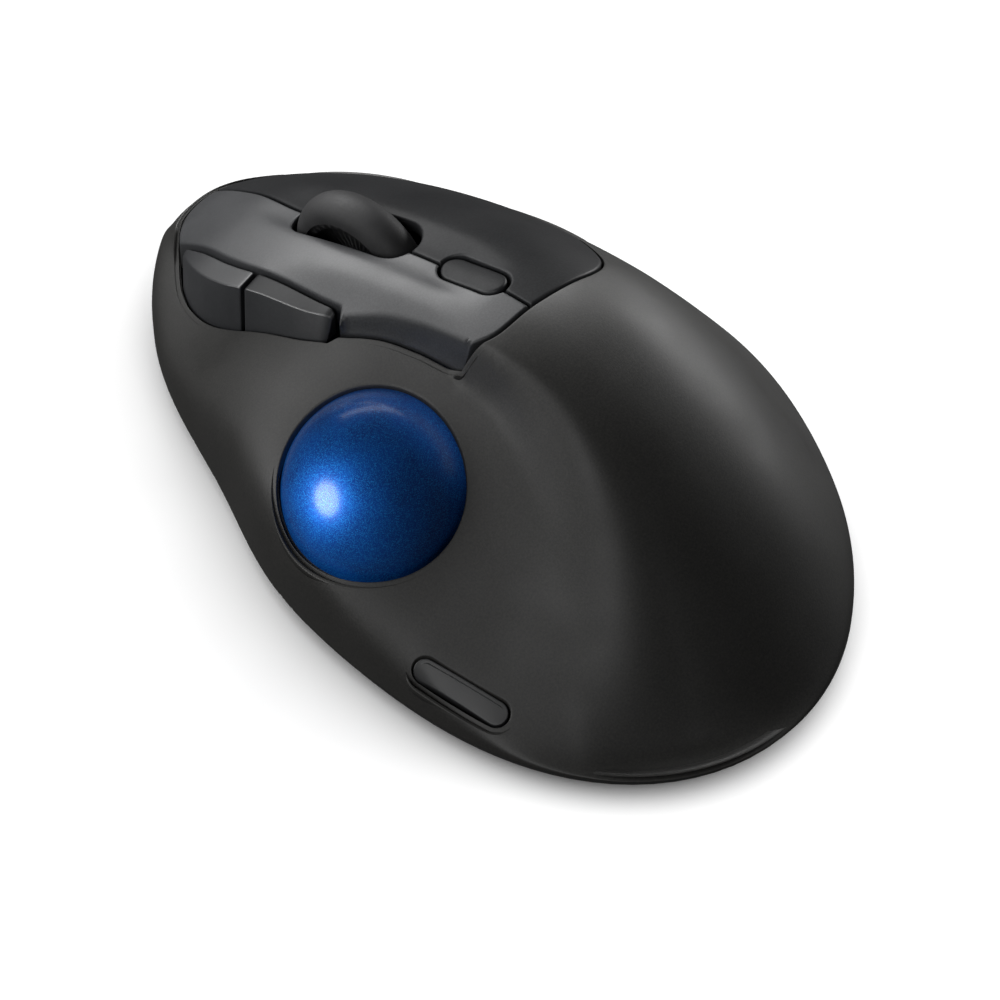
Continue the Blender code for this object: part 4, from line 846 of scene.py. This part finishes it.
def ball_resin():
    """Voronoi cells pick light or dark blue per flake, under a smooth clear coat."""
    made, tree, principled, place = finish("ball_flake_resin", Metallic=0.85, Coat_Weight=0.7,
                                           Coat_Roughness=0.2, Coat_IOR=1.5)
    cells = add(tree, "ShaderNodeTexVoronoi", {"Scale": 1 / (0.10 * MM)}, Vector=place)
    pick = add(tree, "ShaderNodeSeparateColor", None, Color=cells.outputs["Color"])
    cloud = noise(tree, place, 6, 3.0)
    deep = ramp(tree, cloud, linear("#033f94"), linear("#0455b8"), 0.3, 0.7)
    bright = ramp(tree, pick.outputs["Red"], grey(0.0), grey(1.0), 0.55, 1.0)
    mixed = add(tree, "ShaderNodeMix", {"data_type": "RGBA", "clamp_factor": True})
    tree.links.new(bright, mixed.inputs[0])
    tree.links.new(deep, mixed.inputs[6])
    mixed.inputs[7].default_value = linear("#1f8fe6")
    tree.links.new(mixed.outputs[2], principled.inputs["Base Color"])
    sheen = ramp(tree, pick.outputs["Green"], grey(0.50), grey(0.60), 0.0, 1.0)
    tree.links.new(sheen, principled.inputs["Roughness"])
    return made


ball_finish = ball_resin()
print("ball:", ball_finish.name)

# %% [markdown]
# ### Rubber, window, metals and boards
# The tyre is silicone rubber with a fine bloom. The window is smoked acrylic, glossier than the case.
# The hidden parts get their own simple finishes, so that an opened mouse looks right too.

# %% The other finishes


def rubber(name, body, bloom, roughness):
    """Dull elastomer: a soft cloudy bloom over a fine grain."""
    made, tree, principled, place = finish(name, IOR=1.5, Specular_IOR_Level=0.35)
    cloud = noise(tree, place, 3, 4.0)
    grain = noise(tree, place, 0.3, 2.0)
    tree.links.new(ramp(tree, cloud, linear(body), linear(bloom), 0.35, 0.7), principled.inputs["Base Color"])
    tree.links.new(ramp(tree, grain, grey(roughness - 0.06), grey(roughness + 0.06), 0.3, 0.7),
                   principled.inputs["Roughness"])
    bump = add(tree, "ShaderNodeBump", {"Strength": 0.25, "Distance": 0.03 * MM}, Height=grain)
    tree.links.new(bump.outputs["Normal"], principled.inputs["Normal"])
    return made


def metal(name, dark, light, roughness, line_mm=0.2):
    """Drawn or stamped metal: noise stretched along one axis into fine lines."""
    made, tree, principled, place = finish(name, Metallic=1.0)
    stretched = add(tree, "ShaderNodeMapping", {"Scale": (1.0, 0.06, 1.0)}, Vector=place).outputs["Vector"]
    lines = noise(tree, stretched, line_mm, 2.0)
    tree.links.new(ramp(tree, lines, linear(dark), linear(light), 0.3, 0.7), principled.inputs["Base Color"])
    sheen = ramp(tree, lines, grey(roughness), grey(roughness + 0.12), 0.3, 0.7)
    tree.links.new(sheen, principled.inputs["Roughness"])
    return made


def board_laminate():
    """Green solder mask over glass cloth: copper tracks under it show as lighter bands 0.6 mm wide."""
    made, tree, principled, place = finish("board_solder_mask", IOR=1.55)
    tracks = add(tree, "ShaderNodeTexBrick", {"Scale": 1 / (4 * MM), "Mortar Size": 0.07, "Color1": grey(0.0),
                                               "Color2": grey(0.0), "Mortar": grey(1.0)}, Vector=place)
    tree.links.new(ramp(tree, tracks.outputs["Color"], linear("#0c3a20"), linear("#1c5c34"), 0.2, 0.8),
                   principled.inputs["Base Color"])
    weave = add(tree, "ShaderNodeTexNoise", {"Scale": 1 / (0.5 * MM)}, Vector=place).outputs["Fac"]
    tree.links.new(ramp(tree, weave, grey(0.28), grey(0.42), 0.3, 0.7), principled.inputs["Roughness"])
    return made


def tinted(name, low, high, roughness, scale_mm, **shader):
    """A smooth material whose tint and roughness drift a little from place to place."""
    made, tree, principled, place = finish(name, **shader)
    drift = noise(tree, place, scale_mm, 3.0)
    tree.links.new(ramp(tree, drift, linear(low), linear(high), 0.3, 0.7), principled.inputs["Base Color"])
    sheen = ramp(tree, drift, grey(roughness), grey(roughness + 0.06), 0.3, 0.7)
    tree.links.new(sheen, principled.inputs["Roughness"])
    return made


tyre_rubber = rubber("tyre_silicone_rubber", "#222223", "#2a2a2b", 0.62)
foot_rubber = rubber("foot_ptfe", "#1a1a1b", "#262626", 0.5)
window_acrylic = tinted("window_smoked_acrylic", "#111213", "#17181a", 0.42, 5.0, IOR=1.49, Coat_Weight=0.15,
                        Coat_Roughness=0.15)
clear_acrylic = tinted("lens_clear_acrylic", "#d6dde2", "#eef2f4", 0.04, 2.0, IOR=1.49,
                       Transmission_Weight=0.85)
steel = metal("plated_steel", "#9a9a98", "#c8c8c6", 0.22)
ceramic = tinted("bead_zirconia", "#d9d8d2", "#eceae4", 0.12, 1.0, IOR=2.1)
mask_green = board_laminate()
cell_wrap = tinted("cell_printed_sleeve", "#3b4046", "#4d535a", 0.3, 8.0, IOR=1.5, Coat_Weight=0.3)
print("finishes:", len(bpy.data.materials))

# %% Put each finish on its pieces
WEARS = {
    "base_plate": base_abs, "battery_door": base_abs, "wheel_hub": inner_abs, "wheel_axle": steel,
    "aa_cell": cell_wrap, "plate_contact": steel, "spring_contact": steel, "sensor_lens": clear_acrylic,
    "light_guide": clear_acrylic, "power_slider": tyre_rubber, "pairing_button": tyre_rubber,
    "ball_socket": inner_abs, "battery_tray": inner_abs, "button_deck": inner_abs, "click_frame": inner_abs,
    "frame_bracket": inner_abs, "usb_receiver": switch_nylon, "optical_sensor": switch_nylon,
    "wheel_encoder": switch_nylon,
}


def finish_for(node):
    """The finish of a carried node, by its name or by the word its name holds."""
    words = {"board": mask_green, "screw": steel, "bead": ceramic, "foot": foot_rubber,
             "switch": switch_nylon}
    if node in WEARS:
        return WEARS[node]
    if node == "board_link":
        return switch_nylon
    if "screw" in node:
        return steel
    return next(made for word, made in words.items() if word in node)


NEW = ((case_skin, case_abs, "case_plastic"), (left_plate, plate_abs, "button_plastic"),
       (right_plate, plate_abs, "button_plastic"), (mode_piece, plate_abs, "button_plastic"),
       (window_piece, window_acrylic, "window_plastic"), (back_cap, cap_abs, "cap_plastic"),
       (forward_cap, cap_abs, "cap_plastic"), (ball_skin, ball_finish, "ball_resin"),
       (tyre, tyre_rubber, "tyre_rubber"))
for piece, made, slot in NEW:
    piece.data.materials.append(made)
for node, piece in SMOOTH.items():
    piece.data.materials.append(finish_for(node))
    NODES[node].data.materials.clear()
    NODES[node].data.materials.append(finish_for(node))
print(len(NEW), "new pieces and", len(SMOOTH), "carried ones are finished")

# %% [markdown]
# ## Floor, light and camera
# The table is plain and pale. Soft boxes stand in front, on the left and low on the right, so the
# hump's rear falls dark while the plates shine. Bounce from a white table would wash out black plastic,
# as it does on a real set, where black card is laid round the object. Here the table is simply hidden
# from bounced light, and has a box of its own, which draws the soft contact shadow.

# %% Floor
floor_mesh = bpy.data.meshes.new("table")
floor_mesh.from_pydata([(-4, -4, 0), (4, -4, 0), (4, 4, 0), (-4, 4, 0)], [], [(0, 1, 2, 3)])
floor = bpy.data.objects.new("table", floor_mesh)
bpy.context.scene.collection.objects.link(floor)
paper, tree, principled, place = finish("paper_sweep", Specular_IOR_Level=0.0)
fibre = add(tree, "ShaderNodeTexNoise", {"Scale": 1 / (40 * MM)}, Vector=place).outputs["Fac"]
pale = ramp(tree, fibre, linear("#f0f0f0"), linear("#f6f6f6"), 0.3, 0.7)
tree.links.new(pale, principled.inputs["Base Color"])
tree.links.new(ramp(tree, fibre, grey(0.85), grey(0.95), 0.3, 0.7), principled.inputs["Roughness"])
principled.inputs["Emission Color"].default_value = (1.0, 1.0, 1.0, 1.0)
principled.inputs["Emission Strength"].default_value = 0.1
floor_mesh.materials.append(paper)
floor.visible_diffuse = floor.visible_glossy = False

# %% Lights


def softbox(name, place, aim, size, power, colour=(1.0, 1.0, 1.0)):
    """An area light at a place that faces the aim."""
    data = bpy.data.lights.new(name, "AREA")
    data.shape = "ELLIPSE" if size[0] == size[1] else "RECTANGLE"
    data.size, data.size_y = size
    data.energy = power
    data.color = colour
    made = bpy.data.objects.new(name, data)
    made.location = place
    made.rotation_mode = "QUATERNION"
    made.rotation_quaternion = (Vector(place) - Vector(aim)).to_track_quat("Z", "Y")
    bpy.context.scene.collection.objects.link(made)
    return made


def lit_group(name, objects):
    """A collection that a lamp is limited to."""
    made = bpy.data.collections.new(name)
    for lit in objects:
        made.objects.link(lit)
    return made


MOUSE = lit_group("lit_mouse", [lit for lit in PIECES.objects if lit is not ball_skin])
CASE = lit_group("lit_case", [case_skin])
RIGHT = lit_group("lit_right", [right_plate, mode_piece, back_cap])
CAPS = lit_group("lit_caps", [back_cap, forward_cap])
OTHERS = (case_skin, right_plate, mode_piece, back_cap)
LEFT = lit_group("lit_left", [lit for lit in MOUSE.objects if lit not in OTHERS])
BALL = lit_group("lit_ball", [ball_skin])
TABLE = lit_group("lit_table", [floor])
LAMPS = (
    ("front_box", (0.16, 0.90, 0.70), (1.1, 0.7), 20.0, LEFT),
    ("far_box", (0.16, 0.90, 0.70), (1.1, 0.7), 5.0, RIGHT),
    ("nose_box", (0.26, 0.90, 0.70), (1.1, 0.7), 6.0, CASE),
    ("hump_box", (0.75, 0.50, 0.70), (0.5, 0.5), 7.0, CASE),
    ("left_box", (-0.75, 0.75, 0.42), (0.9, 0.7), 6.5, MOUSE),
    ("cap_box", (-0.75, 0.62, 0.12), (0.6, 0.3), 7.0, CAPS),
    ("thumb_box", (-1.05, -0.40, 0.72), (0.6, 0.6), 3.4, MOUSE),
    ("right_strip", (1.25, -0.10, 0.26), (0.9, 0.4), 7.0, MOUSE),
    ("ball_lamp", (-0.70, 0.36, 0.21), (0.44, 0.44), 6.5, BALL),
    ("ball_strip", (0.80, 0.20, 0.50), (2.6, 0.16), 2.8, BALL),
    ("table_box", (0.25, 0.05, 1.10), (2.8, 2.8), 39.0, TABLE),
)
for name, place, size, power, lit in LAMPS:
    lamp = softbox(name, place, (0, 0, 0.02), size, power)
    lamp.light_linking.receiver_collection = lit
    if lit is BALL:
        lamp.light_linking.blocker_collection = BALL
world = bpy.data.worlds.new("studio")
world.use_nodes = True
world.node_tree.nodes["Background"].inputs["Color"].default_value = (1.0, 1.0, 1.0, 1.0)
world.node_tree.nodes["Background"].inputs["Strength"].default_value = 0.05
bpy.context.scene.world = world
bpy.context.scene.view_settings.view_transform = "Standard"

# %% Camera
turn = tilt = math.radians(50.0)
side_way = Vector((math.cos(turn), -math.sin(turn), 0.0))
look = Vector((math.sin(turn) * math.cos(tilt), math.cos(turn) * math.cos(tilt), -math.sin(tilt)))
up_way = side_way.cross(look)
aim = (Vector((-15.24, -17.16, 20.0)) - Vector((MIDDLE[0], MIDDLE[1], 0.0))) * MM
camera = bpy.data.objects.new("camera", bpy.data.cameras.new("camera"))
camera.data.sensor_width = 36.0
camera.data.lens = 36.0 * 3.66
camera.location = aim - look * 0.6
camera.rotation_mode = "QUATERNION"
camera.rotation_quaternion = Matrix((side_way, up_way, -look)).transposed().to_quaternion()
bpy.context.scene.collection.objects.link(camera)
bpy.context.scene.camera = camera
print("camera", [round(v, 3) for v in camera.location], "lens", round(camera.data.lens, 1))

# %% Update the view layer
bpy.context.view_layer.update()
